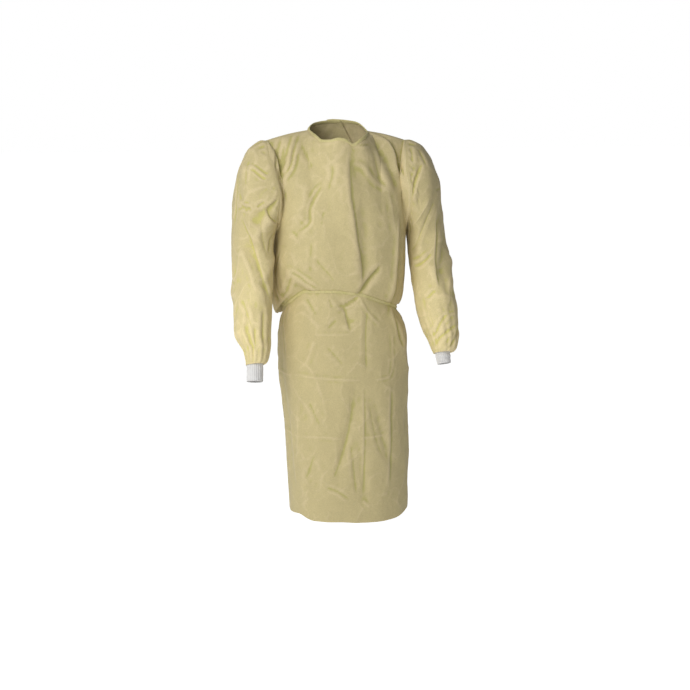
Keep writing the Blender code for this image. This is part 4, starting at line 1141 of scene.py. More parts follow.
def along_grid(points: Grid, closed: bool) -> Grid:
    """Places in metres along the rows and columns of a grid, one column more if it closes."""
    if closed:
        points = np.concatenate([points, points[:, :1]], axis=1)
    u = np.zeros(points.shape[:2])
    v = np.zeros(points.shape[:2])
    u[:, 1:] = np.cumsum(np.linalg.norm(np.diff(points, axis=1), axis=-1), axis=1)
    v[1:] = np.cumsum(np.linalg.norm(np.diff(points, axis=0), axis=-1), axis=0)
    return np.stack([u, v], axis=-1)


def new_object(name: str, mesh: bpy.types.Mesh, finish: Material) -> Piece:
    """Put a mesh into the scene with its finish, smooth but for its rims."""
    mesh.materials.append(finish)
    mesh.shade_smooth()
    mesh.set_sharp_from_angle(angle=SHARP_ANGLE)
    made = bpy.data.objects.new(name, mesh)
    bpy.context.collection.objects.link(made)
    return made


def make_shell(
    name: str, cloth: Surface, thickness: float, finish: Material, full: float = 0.0010
) -> Piece:
    """A thin closed shell round a grid of cloth.

    Args:
        name: The piece's name.
        cloth: The middle of the cloth.
        thickness: The cloth's thickness.
        finish: Its material.
        full: The hollow depth that counts as fully hollow for the painted shade in its colour.

    Returns:
        The piece.
    """
    points, normals = cloth.points, cloth.normals
    rows, columns = points.shape[:2]
    spans = columns if cloth.closed else columns - 1
    wide = spans + 1
    count = rows * columns
    r, c = (x.ravel() for x in np.meshgrid(np.arange(rows - 1), np.arange(spans), indexing="ij"))
    corners = [(r, c), (r, c + 1), (r + 1, c + 1), (r + 1, c)]
    quads = np.stack([i * columns + j % columns for i, j in corners], axis=1)
    places = np.stack([i * wide + j for i, j in corners], axis=1)
    faces = [quads, quads[:, ::-1] + count]
    mapped = [places, places[:, ::-1]]
    level, upright = np.arange(spans), np.arange(rows - 1)
    rims = [((0 * level, level + 1), (0 * level, level))]
    rims.append(((0 * level + rows - 1, level), (0 * level + rows - 1, level + 1)))
    if not cloth.closed:
        rims.append(((upright, 0 * upright), (upright + 1, 0 * upright)))
        rims.append(((upright + 1, 0 * upright + spans), (upright, 0 * upright + spans)))
    for (i, j), (k, m) in rims:
        first, second = i * columns + j % columns, k * columns + m % columns
        faces.append(np.stack([first, second, second + count, first + count], axis=1))
        first, second = i * wide + j, k * wide + m
        mapped.append(np.stack([first, second, second, first], axis=1))
    faces, mapped = np.concatenate(faces), np.concatenate(mapped)
    if np.mean(np.sum(grid_normals(points, cloth.closed) * normals, axis=-1)) < 0:
        faces, mapped = faces[:, ::-1], mapped[:, ::-1]
    half = normals * (thickness / 2)
    skins = np.concatenate([(points + half).reshape(-1, 3), (points - half).reshape(-1, 3)])
    mesh = bpy.data.meshes.new(name)
    mesh.from_pydata(skins.tolist(), [], faces.tolist())
    places = along_grid(points, cloth.closed).reshape(-1, 2)
    layer = mesh.uv_layers.new(name="cloth")
    layer.data.foreach_set("uv", places[mapped.ravel()].ravel())
    # This relief drives the painted shade in hollows and the painted highlight on crests.
    relief = grid_relief(points, normals, cloth.closed, full).ravel()
    stored = mesh.attributes.new("relief", "FLOAT", "POINT")
    stored.data.foreach_set("value", np.concatenate([relief, relief]))
    return new_object(name, mesh, finish)


def make_swept(
    name: str, strips: list[Grid], finish: Material, rings: tuple[int, ...] = ()
) -> Piece:
    """Strips swept through closed sections, as one piece.

    Args:
        name: The piece's name.
        strips: For each strip its sections, every one with the same count of corners.
        finish: The material.
        rings: Which strips join their last section to their first.

    Returns:
        The piece.
    """
    points: list[Grid] = []
    faces: list[tuple[int, ...]] = []
    places: list[tuple[float, float]] = []
    start = 0
    for number, sections in enumerate(strips):
        stops, corners = sections.shape[:2]
        is_ring = number in rings
        along = along_grid(sections, True)
        for i in range(stops if is_ring else stops - 1):
            j = (i + 1) % stops
            for k in range(corners):
                m = (k + 1) % corners
                quad = (i * corners + k, i * corners + m, j * corners + m, j * corners + k)
                faces.append(tuple(start + q for q in quad))
                places += [tuple(along[a, b]) for a, b in ((i, k), (i, k + 1), (j, k + 1), (j, k))]
        if not is_ring:
            first = range(corners - 1, -1, -1)
            last = range((stops - 1) * corners, stops * corners)
            faces.append(tuple(start + q for q in first))
            faces.append(tuple(start + q for q in last))
            places += [(0.0, 0.0)] * (2 * corners)
        points.append(sections.reshape(-1, 3))
        start += stops * corners
    mesh = bpy.data.meshes.new(name)
    mesh.from_pydata(np.concatenate(points).tolist(), [], faces)
    layer = mesh.uv_layers.new(name="cloth")
    layer.data.foreach_set("uv", np.array(places).ravel())
    face_outwards(mesh)
    return new_object(name, mesh, finish)


def face_outwards(mesh: bpy.types.Mesh) -> None:
    """Turn the faces of closed strips outwards."""
    builder = bmesh.new()
    builder.from_mesh(mesh)
    bmesh.ops.recalc_face_normals(builder, faces=builder.faces)
    builder.to_mesh(mesh)
    builder.free()


def flat_section(
    path: Grid, wide: Grid, thick: Grid, half_width: Grid, half_thickness: Grid, corners: int
) -> Grid:
    """Sections of a soft flat strip along a path.

    Args:
        path: The middle of the strip.
        wide: The way across it at each stop.
        thick: The way through it at each stop.
        half_width: Half its width at each stop.
        half_thickness: Half its thickness at each stop.
        corners: How many corners a section has.

    Returns:
        The sections, stop by stop.
    """
    turns = (np.arange(corners) + 0.5) * 2 * np.pi / corners
    across = np.sign(np.cos(turns)) * np.abs(np.cos(turns)) ** 0.6
    through = np.sign(np.sin(turns)) * np.abs(np.sin(turns)) ** 0.6
    sideways = across[None, :, None] * (wide * half_width[:, None])[:, None]
    deep = through[None, :, None] * (thick * half_thickness[:, None])[:, None]
    return path[:, None] + sideways + deep


class BodyGrid(NamedTuple):
    """The whole body as one closed grid, with what its panels need to know."""

    points: Grid
    normals: Grid
    cad_rows: Grid
    tie_rows: tuple[int, int]


@dataclass(frozen=True)
class GownBody:
    """The front and the two back panels, cut from one closed body with its creases."""

    steps: int = 5
    row_height: float = 0.0046
    least_rows: int = 3
    top_rows: int = 70
    band_rows: int = 3
    thickness: float = 0.0006
    seam_sink: float = 0.0006
    seam_pucker: float = 0.0004
    pucker_length: float = 0.017
    seam_width: float = 0.22
    pucker_place: float = 0.6
    pucker_width: float = 0.4
    crease_fade: tuple[float, float] = (0.007, 0.022)
    crumples: tuple[Crumple, ...] = (Crumple(0.070, 0.0022, 11.3), Crumple(0.026, 0.0006, 4.7))

    @property
    def columns(self) -> int:
        """How many columns run round the body."""
        return AROUND * self.steps

    def grid(self) -> BodyGrid:
        """Work out the closed grid with its folds, creases and crumples."""
        lower_at, lower_rows = fine_rows(BODY, self.row_height, self.least_rows, 0)
        edge_row = lower_rows[-1] + TOP_ROWS + 1
        upper_rows = np.linspace(lower_rows[-1], edge_row - 1, self.top_rows + 1)[1:]
        band = np.linspace(edge_row - 1, edge_row, self.band_rows + 1)[1:]
        cad_rows = np.concatenate([lower_rows, upper_rows, band])
        columns, gaps, angles = [], [], []
        for number in range(self.columns):
            side, angle, edge, place = self.column(number / self.steps)
            lower = self.lower_column(side, angle, lower_at)
            upper, gap = self.upper_column(side, angle, edge, place, lower[-1])
            columns.append(np.concatenate([lower, upper]))
            gaps.append(np.concatenate([np.full(len(lower), 1.0), gap]))
            angles.append(side * angle)
        points = np.stack(columns, axis=1)
        gap = np.stack(gaps, axis=1)
        turns = np.broadcast_to(np.array(angles), gap.shape)
        points = self.with_folds(points, turns, cad_rows, edge_row)
        points = self.with_creases(points, gap)
        points = self.with_seams(points, cad_rows)
        normals = grid_normals(points, True)
        self.join_shoulders(normals)
        low = int(np.argmin(np.abs(lower_at - TIE_BOTTOM)))
        high = int(np.argmin(np.abs(lower_at - TIE_TOP)))
        return BodyGrid(points, normals, cad_rows, (low, high))

    @staticmethod
    def column(number: float) -> tuple[int, float, str, float]:
        """A column's side, its angle at the chest, its edge and its place on the edge."""
        side = 1 if number <= NAPE else -1
        number = number if side > 0 else AROUND - number
        for run in HALF:
            if number <= run.columns:
                break
            number -= run.columns
        t = number / run.columns
        angle = run.first_angle + (run.last_angle - run.first_angle) * t
        return side, angle, run.edge, run.first_place + (run.last_place - run.first_place) * t

    @staticmethod
    def lower_column(side: int, angle: float, at: Grid) -> Grid:
        """One column from the hem to the chest."""
        rows = smooth(range(len(BODY)), numbers(BODY), at)
        height, follows, droops, centre_x, half_width, front_depth, back_depth = rows.T
        waist = np.array(WAIST)
        tie_height, droop, hem_dip = smooth(waist[:, 0], waist[:, 1:], side * angle)[0]
        swell = droops * droop * DROOP_SWELL
        dip = hem_dip * ramp(-height, -BODY[0].height - HEM_DIP_FADE, -BODY[0].height)
        turn = math.radians(side * angle)
        power = 2 / BODY_ROUNDNESS
        across = math.copysign(abs(math.sin(turn)) ** power, math.sin(turn))
        ahead = math.copysign(abs(math.cos(turn)) ** power, math.cos(turn))
        depth = front_depth if ahead > 0 else back_depth
        x = centre_x + (half_width + swell) * across
        z = height + follows * (tie_height - TIE_FRONT) - droops * droop - dip
        return np.stack([x, -(depth + swell) * ahead, z], axis=1)

    def upper_column(
        self, side: int, angle: float, edge: str, place: float, start: Grid
    ) -> tuple[Grid, Grid]:
        """One column from the chest to its edge, and how far each point is from the edge."""
        end = self.edge_point(side, edge, place)
        span = np.linalg.norm(end - start)
        arrive = self.edge_tangent(side, edge, place, angle, (end - start) / span)
        t = np.linspace(0, 1, CURVE_POINTS)[:, None]
        rise = np.array([0.0, 0.0, 1.0]) * span
        curve = hermite(start, rise, end, arrive * ARRIVAL * span, t)
        along = lengths_along(curve)
        stops = np.linspace(0, along[-1] - BINDING_DEPTH, self.top_rows + 1)[1:]
        band = np.linspace(along[-1] - BINDING_DEPTH, along[-1], self.band_rows + 1)[1:]
        stops = np.concatenate([stops, band])
        points = np.stack([np.interp(stops, along, curve[:, k]) for k in range(3)], axis=1)
        return points, along[-1] - stops

    @staticmethod
    def edge_point(side: int, edge: str, place: float) -> Grid:
        """A point of the neck edge, a shoulder seam or an armhole."""
        if edge == "neckline":
            return around(NECK, side * place)
        armhole = ARMHOLES[Side(side)]
        if edge == "armhole":
            return around(armhole, place)
        neck_point = around(NECK, side * 90)
        crown = SHOULDER_CROWN * math.sin(math.pi * place)
        return neck_point + (around(armhole, 0) - neck_point) * place + [0, 0, crown]

    @staticmethod
    def over_shoulder(side: int, angle: float, place: float) -> Grid:
        """The way over the shoulder seam, leaning to the neck or to the arm at its ends."""
        ahead = 1.0 if angle < 90 else -1.0
        in_lean = NECK_LEAN * (1 - place)
        upward = SHOULDER_RISE + NECK_RISE * in_lean
        return unit(np.array([side * (TIP_LEAN * place - in_lean), ahead, upward]))

    def edge_tangent(self, side: int, edge: str, place: float, angle: float, rise: Grid) -> Grid:
        """The way that a column reaches its edge: over the shoulder, or up the neck."""
        if edge == "shoulder":
            return self.over_shoulder(side, angle, place)
        if edge == "neckline":
            turn = math.radians(side * place)
            level = np.array([-math.sin(turn), math.cos(turn), 0.0]) * NECK_INWARD
            inward = level + [0.0, 0.0, NECK_UPWARD]
            share = (min(place, 180 - place) / 90) ** 2
            return unit(inward + (self.over_shoulder(side, angle, 0) - inward) * share)
        from_tip = min(place, TURN - place)
        over = self.over_shoulder(side, angle, 1)
        outward = ARMHOLE_SPREAD * math.sin(math.pi * min(from_tip / ARMHOLE_SPREAD_END, 1))
        return unit(over + (rise - over) * ramp(from_tip, 0, TIP_TURN) + [side * outward, 0, 0])

    def with_folds(self, points: Grid, turns: Grid, cad_rows: Grid, edge_row: float) -> Grid:
        """Move the cloth by its large folds and the gathers at the tie."""
        heights = points[..., 2]
        rise = fold_rise(BODY_FOLDS, turns, heights, BODY_ARC)
        number = np.arange(self.columns) / self.steps
        signed = (turns + TURN / 2) % TURN - TURN / 2
        waist = np.array(WAIST)
        tie = smooth(waist[:, 0], waist[:, 1:2], signed[0])[:, 0]
        away = abs(heights - tie)
        near = ramp(away, GATHER_CLEAR, GATHER_AT_FULL)
        near *= ramp(-away, -GATHER_REACH, -GATHER_FADES)
        waves = np.cos(np.pi * number)
        rise += waves * near * GATHER_RISE * ramp(abs(signed), GATHER_START, GATHER_FULL)
        rise *= 1 - ramp(cad_rows, edge_row - 3, edge_row - 1)[:, None]
        return points + grid_normals(points, True) * rise[..., None]

    def with_creases(self, points: Grid, gap: Grid) -> Grid:
        """Move the cloth by its creases and crumples, which end before the upper edges."""
        normals = grid_normals(points, True)
        rise = CreaseMaker().rise(BODY_CREASES, points, normals)
        for crumple in self.crumples:
            rise += crumple.at(points)
        rise *= ramp(gap, *self.crease_fade)
        return points + normals * rise[..., None]

    def with_seams(self, points: Grid, cad_rows: Grid) -> Grid:
        """Sink the side seams a little, with the small puckers that sewing leaves."""
        normals = grid_normals(points, True)
        number = np.arange(self.columns) / self.steps
        rise = np.zeros(points.shape[:2])
        for seam in (UNDERARM, AROUND - UNDERARM):
            away = np.abs(number - seam)
            line = np.exp(-((away / self.seam_width) ** 2))
            beside = np.exp(-(((away - self.pucker_place) / self.pucker_width) ** 2))
            turn = points[..., 2] * 2 * np.pi / self.pucker_length
            waves = np.sin(turn + 1.9 * np.sin(turn * 0.31)) * np.sin(turn * 0.17 + 0.8)
            rise += -self.seam_sink * line + self.seam_pucker * beside * waves
        rise *= 1 - ramp(cad_rows, cad_rows[-1] - 3, cad_rows[-1] - 1)[:, None]
        return points + normals * rise[..., None]

    def join_shoulders(self, normals: Grid) -> None:
        """Let the front and the back share one direction along each shoulder seam."""
        for side in (1, -1):
            ahead = np.arange(NECK_POINT * self.steps, TIP * self.steps + 1)
            behind = np.arange(BACK_NECK_POINT * self.steps, BACK_TIP * self.steps - 1, -1)
            ahead, behind = side * ahead % self.columns, side * behind % self.columns
            shared = unit(normals[-1][ahead] + normals[-1][behind])
            normals[-1][ahead] = shared
            normals[-1][behind] = shared

    def front(self, grid: BodyGrid) -> Surface:
        """The front panel, from side seam to side seam."""
        reach = UNDERARM * self.steps
        columns = np.arange(-reach, reach + 1) % self.columns
        return Surface(grid.points[:, columns], grid.normals[:, columns], False)

    def back(self, grid: BodyGrid, side: Side) -> Surface:
        """A back panel, from its side seam past the centre back."""
        closing = ramp(grid.cad_rows, grid.cad_rows[-1] - TOP_ROWS - 1, grid.cad_rows[-1])
        reach = LAP_REACH_BODY + (LAP_REACH_NECK - LAP_REACH_BODY) * closing
        points, normals = [], []
        for fine in range(UNDERARM * self.steps, (NAPE + LAP_COLUMNS) * self.steps + 1):
            number = fine / self.steps
            past = max(0.0, number - NAPE) / LAP_COLUMNS * reach
            column = side.value * (min(number, NAPE) + past)
            lift = self.lap_lift(grid, closing, number) if side is Side.LEFT else 0.0
            normal = unit(self.at_columns(grid.normals, column))
            points.append(self.at_columns(grid.points, column) + normal * lift)
            normals.append(normal)
        if side is Side.RIGHT:
            points.reverse()
            normals.reverse()
        return Surface(np.stack(points, axis=1), np.stack(normals, axis=1), False)

    @staticmethod
    def lap_lift(grid: BodyGrid, closing: Grid, number: float) -> Grid:
        """How far the outer panel lies over the inner one at a column, row by row."""
        tie_row = grid.cad_rows[grid.tie_rows[0]] + 0.5
        away = np.abs(grid.cad_rows - tie_row) - 0.5
        near = 1 - ramp(away, LAP_ROWS_NEAR_TIE, LAP_ROWS_NEAR_TIE + 2)
        full = LAP_LIFT + (LAP_LIFT_AT_TIE - LAP_LIFT) * near
        start = LAP_RAMP_START + (LAP_RAMP_START_AT_NECK - LAP_RAMP_START) * closing
        end = LAP_RAMP_END + (LAP_RAMP_END_AT_NECK - LAP_RAMP_END) * closing
        return (full * ramp(number, start, end))[:, None]

    def at_columns(self, grid: Grid, columns: Grid) -> Grid:
        """Read the closed grid at one fractional column of the solid for each row."""
        fine = np.asarray(columns, float) * self.steps
        fine = np.broadcast_to(fine, (len(grid),))
        first = np.floor(fine).astype(int)
        share = (fine - first)[:, None]
        rows = np.arange(len(grid))
        after = grid[rows, (first + 1) % self.columns]
        return grid[rows, first % self.columns] * (1 - share) + after * share


@dataclass(frozen=True)
class Sleeve:
    """A long full sleeve, from its armhole to the gathers at the cuff."""

    side: Side
    columns: int = 168
    cap_rows: int = 80
    row_height: float = 0.0045
    least_rows: int = 4
    thickness: float = 0.0006
    uneven: float = 0.85
    gather_share: float = 0.36
    pucker_rise: float = 0.0022
    puckers: int = 26
    fold_fade: tuple[float, float] = (5, 2)
    crease_fade: tuple[float, float] = (3.2, 1.2)
    seam_fade: tuple[float, float] = (0.002, 0.016)
    crumples: tuple[Crumple, ...] = (Crumple(0.052, 0.0026, 7.1), Crumple(0.021, 0.0006, 2.9))

    def surface(self) -> Surface:
        """The sleeve with its folds, creases, gathers and crumples."""
        points, rows = self.grid()
        turn = np.linspace(0, TURN, self.columns, endpoint=False)
        turns = np.broadcast_to(turn, points.shape[:2])
        from_end = rows - rows[-1]
        rise = fold_rise(SLEEVE_FOLDS[self.side], turns, points[..., 2], SLEEVE_ARC)
        first, last = self.fold_fade
        rise *= (ramp(rows, 0, 3) * (1 - ramp(from_end, -first, -last)))[:, None]
        points = points + self.outward(points) * rise[..., None]
        normals = self.outward(points)
        rise = CreaseMaker().rise(SLEEVE_CREASES[self.side], points, normals)
        for crumple in self.crumples:
            rise += crumple.at(points)
        along = np.cumsum(np.linalg.norm(np.diff(points, axis=0, prepend=points[:1]), axis=-1), axis=0)
        rise += self.cap_puckers(turns, along)
        first, last = self.crease_fade
        rise *= ramp(along, *self.seam_fade) * (1 - ramp(from_end, -first, -last))[:, None]
        points = points + normals * rise[..., None]
        return Surface(points, self.outward(points), True)

    def grid(self) -> tuple[Grid, Grid]:
        """The plain sleeve, and where each row lies among the solid's rows."""
        table = ARMS[self.side]
        turn = np.linspace(0, 2 * np.pi, self.columns, endpoint=False)
        at, rows = fine_rows(table, self.row_height, self.least_rows, CAP_ROWS)
        rings = self.rings(at, turn)
        second = self.rings(np.array([1 / table[0].rows_above]), turn)[0]
        armhole = np.array([
            around(ARMHOLES[self.side], t) for t in np.linspace(0, TURN, self.columns, endpoint=False)
        ])
        cap = self.cap(armhole, rings[0], second, turn)
        cap_rows = np.linspace(0, CAP_ROWS, self.cap_rows, endpoint=False)
        return np.concatenate([cap, rings]), np.concatenate([cap_rows, rows])

    def rings(self, at: Grid, turn: Grid) -> Grid:
        """Rings below the cap, with the wrist's gathers."""
        side = self.side.value
        places = turn / (2 * np.pi) * GATHERS
        drift = 0.7 * np.sin(turn * 2 + 1.3 * self.side.value) + 0.4 * np.sin(turn * 5 + 0.4)
        waves_round = np.cos(2 * np.pi * places + drift)
        waves_round *= 1 + self.uneven * np.sin(turn * 3 + 2.1) * np.cos(turn * 4 + self.side.value)
        rings = []
        for row in smooth(range(len(ARMS[self.side])), numbers(ARMS[self.side]), at):
            height, centre_x, centre_y, half_width, half_depth, toe_in, tilt, waves = row
            lean = math.radians(tilt)
            wave = waves * self.gather_share * waves_round
            across = side * ((half_width + wave) * np.cos(turn) - toe_in * np.sin(turn))
            ahead = (half_depth + wave) * np.sin(turn)
            y = centre_y - ahead * math.cos(lean)
            rings.append(np.stack([centre_x + across, y, height + ahead * math.sin(lean)], axis=1))
        return np.stack(rings)

    def cap(self, armhole: Grid, arm_ring: Grid, second: Grid, turn: Grid) -> Grid:
        """The cap, from the armhole over the shoulder down to the arm ring."""
        span = np.linalg.norm(arm_ring - armhole, axis=1, keepdims=True)
        over, under = np.cos(turn / 2) ** 2, np.sin(turn / 2) ** 2
        out = self.side.value * (CAP_OUT_UNDER + CAP_OUT_OVER * over)
        leave = np.stack([out, -CAP_AHEAD * np.sin(turn), -CAP_DOWN * under], axis=1)
        leaving = leave * span * CAP_FULLNESS[self.side]
        arriving = unit(second - arm_ring) * span * CAP_LANDING
        stops = np.linspace(0, 1, self.cap_rows, endpoint=False)
        return np.stack([hermite(armhole, leaving, arm_ring, arriving, t) for t in stops])

    def cap_puckers(self, turns: Grid, along: Grid) -> Grid:
        """Short gathers that start at the armhole seam, uneven in length and depth."""
        wave = np.cos(np.radians(turns) * self.puckers + 0.8 * np.sin(np.radians(turns) * 5))
        size = 0.6 + 0.4 * np.sin(np.radians(turns) * 3 + 0.7)
        length = 0.030 + 0.020 * np.sin(np.radians(turns) * 4 + 2.0)
        return self.pucker_rise * wave * size * np.exp(-((along / length) ** 2))

    def outward(self, points: Grid) -> Grid:
        """Outward directions on the sleeve, whose rows run down."""
        return grid_normals(points, True) * self.side.value


@dataclass(frozen=True)
class Cuff:
    """A rib-knit cuff that starts inside the sleeve's end."""

    side: Side
    ribs: int = 24
    columns_per_rib: int = 8
    row_height: float = 0.0011
    rib_rise: float = 0.0009
    thickness: float = 0.0011
    ripple: float = 0.00025
    ripple_length: float = 0.015

    def surface(self) -> Surface:
        """The knit tube with its ribs."""
        seam = ARMS[self.side][-1]
        bands = np.array(CUFFS[self.side])
        count = math.ceil((bands[-1, 0] - bands[0, 0]) / self.row_height)
        below = np.linspace(bands[0, 0], bands[-1, 0], count + 1)
        radius = smooth(bands[:, 0], bands[:, 1:], below)[:, 0]
        turn = np.linspace(0, 2 * np.pi, self.ribs * self.columns_per_rib, endpoint=False)
        lean = math.radians(seam.tilt)
        side = self.side.value
        axis = unit(np.array([CUFF_LEAN[self.side], -math.sin(lean), -math.cos(lean)]))
        ahead = unit(np.cross(axis, [side, 0.0, 0.0])) * side
        across = np.cross(ahead, axis)
        middle = np.array([seam.centre_x, seam.centre_y, seam.height])
        round_way = np.cos(turn)[:, None] * across + np.sin(turn)[:, None] * ahead
        ribs = self.rib_rise * (0.5 + 0.5 * np.cos(turn * self.ribs))
        shows = ramp(below, 0.0, 0.006)[:, None]
        ripples = self.ripple * np.sin(below[:, None] * 2 * np.pi / self.ripple_length + turn)
        size = radius[:, None] + ribs[None] + ripples * shows
        points = middle + axis * below[:, None, None] + round_way[None] * size[..., None]
        normals = grid_normals(points, True)
        outward = np.sign(np.sum(normals[0, 0] * round_way[0]))
        return Surface(points, normals * outward, True)


@dataclass(frozen=True)
class NeckBinding:
    """The folded tape over the neck edge, along the three panels."""

    near: float = 0.0006
    far: float = 0.0016
    roll: float = 0.0012
    fan_stops: int = 7
    pucker: float = 0.00025
    pucker_length: float = 0.011

    def sections(self, front: Surface, backs: tuple[Surface, Surface], body: GownBody) -> Grid:
        """The tape's sections from the right panel's free edge round to the left's.

        Args:
            front: The front panel.
            backs: The left and the right back panel.
            body: What the panels were cut from.

        Returns:
            The sections, stop by stop.
        """
        left, right = backs
        steps = body.steps
        neck = (BACK_NECK_POINT - UNDERARM) * steps
        last = (NAPE - UNDERARM + LAP_COLUMNS) * steps
        middle = UNDERARM * steps
        reach = NECK_POINT * steps
        band = -1 - body.band_rows
        runs = (
            self.stops(right, range(0, last - neck + 1), band),
            self.stops(front, range(middle - reach, middle + reach + 1), band),
            self.stops(left, range(neck, last + 1), band),
        )
        found = [runs[0]]
        for before, after in zip(runs, runs[1:]):
            found += [self.fan(before, after), after]
        top, down, normal = (np.concatenate(parts) for parts in zip(*found))
        wave = self.pucker * np.sin(lengths_along(top) * 2 * np.pi / self.pucker_length)
        shape = self.shape()
        far_side = np.sign(shape[:, 1]) * (np.abs(shape[:, 1]) > self.near * 1.2)
        depth = shape[:, 0][None, :, None] * down[:, None]
        away = shape[:, 1][None, :, None] * normal[:, None]
        away = away + (far_side[None] * wave[:, None])[..., None] * normal[:, None]
        return top[:, None] + depth + away

    @staticmethod
    def stops(panel: Surface, columns: range, band: int) -> tuple[Grid, Grid, Grid]:
        """The edge, the way down and the wall's direction along part of a panel's top."""
        top = panel.points[-1, list(columns)]
        down = unit(panel.points[band, list(columns)] - top)
        normal = panel.normals[-1, list(columns)]
        normal = unit(normal - down * np.sum(normal * down, axis=1, keepdims=True))
        return top, down, normal

    def fan(self, before: tuple, after: tuple) -> tuple[Grid, Grid, Grid]:
        """Stops that turn the tape over the shoulder seam."""
        share = np.linspace(0, 1, self.fan_stops + 2)[1:-1, None]
        top = before[0][-1] * (1 - share) + after[0][0] * share
        down = unit(before[1][-1] * (1 - share) + after[1][0] * share)
        normal = unit(before[2][-1] * (1 - share) + after[2][0] * share)
        return top, down, unit(normal - down * np.sum(normal * down, axis=1, keepdims=True))

    def shape(self) -> Grid:
        """The tape's section: distance down from the edge, and away from the cloth."""
        depth, near, far, roll = BINDING_DEPTH, self.near, self.far, self.roll
        outside = [
            (depth, near),
            (depth, far - 0.0003),
            (depth - 0.0008, far),
            (depth * 0.5, far + 0.0002),
            (0.0012, far + 0.0001),
            (-roll * 0.5, far * 0.8),
            (-roll, far * 0.3),
        ]
        inside = [(down, -away) for down, away in outside[::-1]]
        channel = [(0.0006, -near), (-0.0002, 0.0), (0.0006, near)]
        return np.array(outside + inside + channel)


@dataclass(frozen=True)
class WaistTie:
    """The narrow strip in the waist, once round over the outer panel's free edge."""

    near: float = 0.0006
    depth: float = 0.0012
    groove: float = 0.0005
    roll: float = 0.0010
    half_gap: float = 0.010
    pinch_turn: float = 9.0
    pinch_reach: float = 5.0
    pinch: float = 0.30

    def path(self, grid: BodyGrid, outer: Surface, body: GownBody, row: int) -> tuple[Grid, Grid]:
        """The points and directions that the strip follows along one row."""
        steps = body.steps
        centre = (NAPE - UNDERARM) * steps
        found = [(outer.points[row, k], outer.normals[row, k]) for k in range(centre, 0, -1)]
        for fine in range(UNDERARM * steps, -LAP_RAMP_END * steps - steps, -1):
            number = fine / steps
            lift = LAP_LIFT_AT_TIE * ramp(-number, LAP_RAMP_START, LAP_RAMP_END - 1)
            normal = grid.normals[row, fine % body.columns]
            found.append((grid.points[row, fine % body.columns] + normal * lift, normal))
        count = outer.points.shape[1]
        for k in range(count - 1, centre - 1, -1):
            found.append((outer.points[row, k], outer.normals[row, k]))
        return np.array([p for p, _ in found]), np.array([n for _, n in found])

    def sections(self, grid: BodyGrid, outer: Surface, body: GownBody) -> Grid:
        """The strip's sections, from the knot once round to the knot."""
        low_row, high_row = grid.tie_rows
        low, low_normal = self.path(grid, outer, body, low_row)
        high, high_normal = self.path(grid, outer, body, high_row)
        normal = unit(low_normal + high_normal)
        low, high, normal = self.evened(low), self.evened(high), unit(self.evened(normal))
        keep = self.between_knot_ends(low)
        low, high, normal = low[keep], high[keep], normal[keep]
        middle, half = (low + high) / 2, (high - low) / 2
        turn = np.degrees(np.arctan2(middle[:, 0], -middle[:, 1]))
        pinch = 1 - self.pinch * np.exp(-(((turn - self.pinch_turn) / self.pinch_reach) ** 2))
        half = half * pinch[:, None]
        shape = (
            (-0.72, 0.0), (-0.82, 0.6), (-0.64, 1.1), (-0.25, 1.0 - self.groove / self.depth),
            (0.15, 1.1), (0.62, 1.25), (0.86, 0.7), (0.75, 0.0), (0.0, 0.0),
        )
        parts = []
        for across, away in shape:
            parts.append(middle + half * across + normal * (self.near + away * self.depth))
        return np.stack(parts, axis=1)

    @staticmethod
    def evened(path: Grid, rounds: int = 3) -> Grid:
        """A path with its small steps taken out, as a taut strip has."""
        for _ in range(rounds):
            inner = path[:-2] * 0.25 + path[1:-1] * 0.5 + path[2:] * 0.25
            path = np.concatenate([path[:1], inner, path[-1:]])
        return path

    def between_knot_ends(self, path: Grid) -> Grid:
        """Which stops lie clear of the knot at the centre back."""
        along = lengths_along(path)
        return (along > self.half_gap * 0.6) & (along < along[-1] - self.half_gap * 0.6)


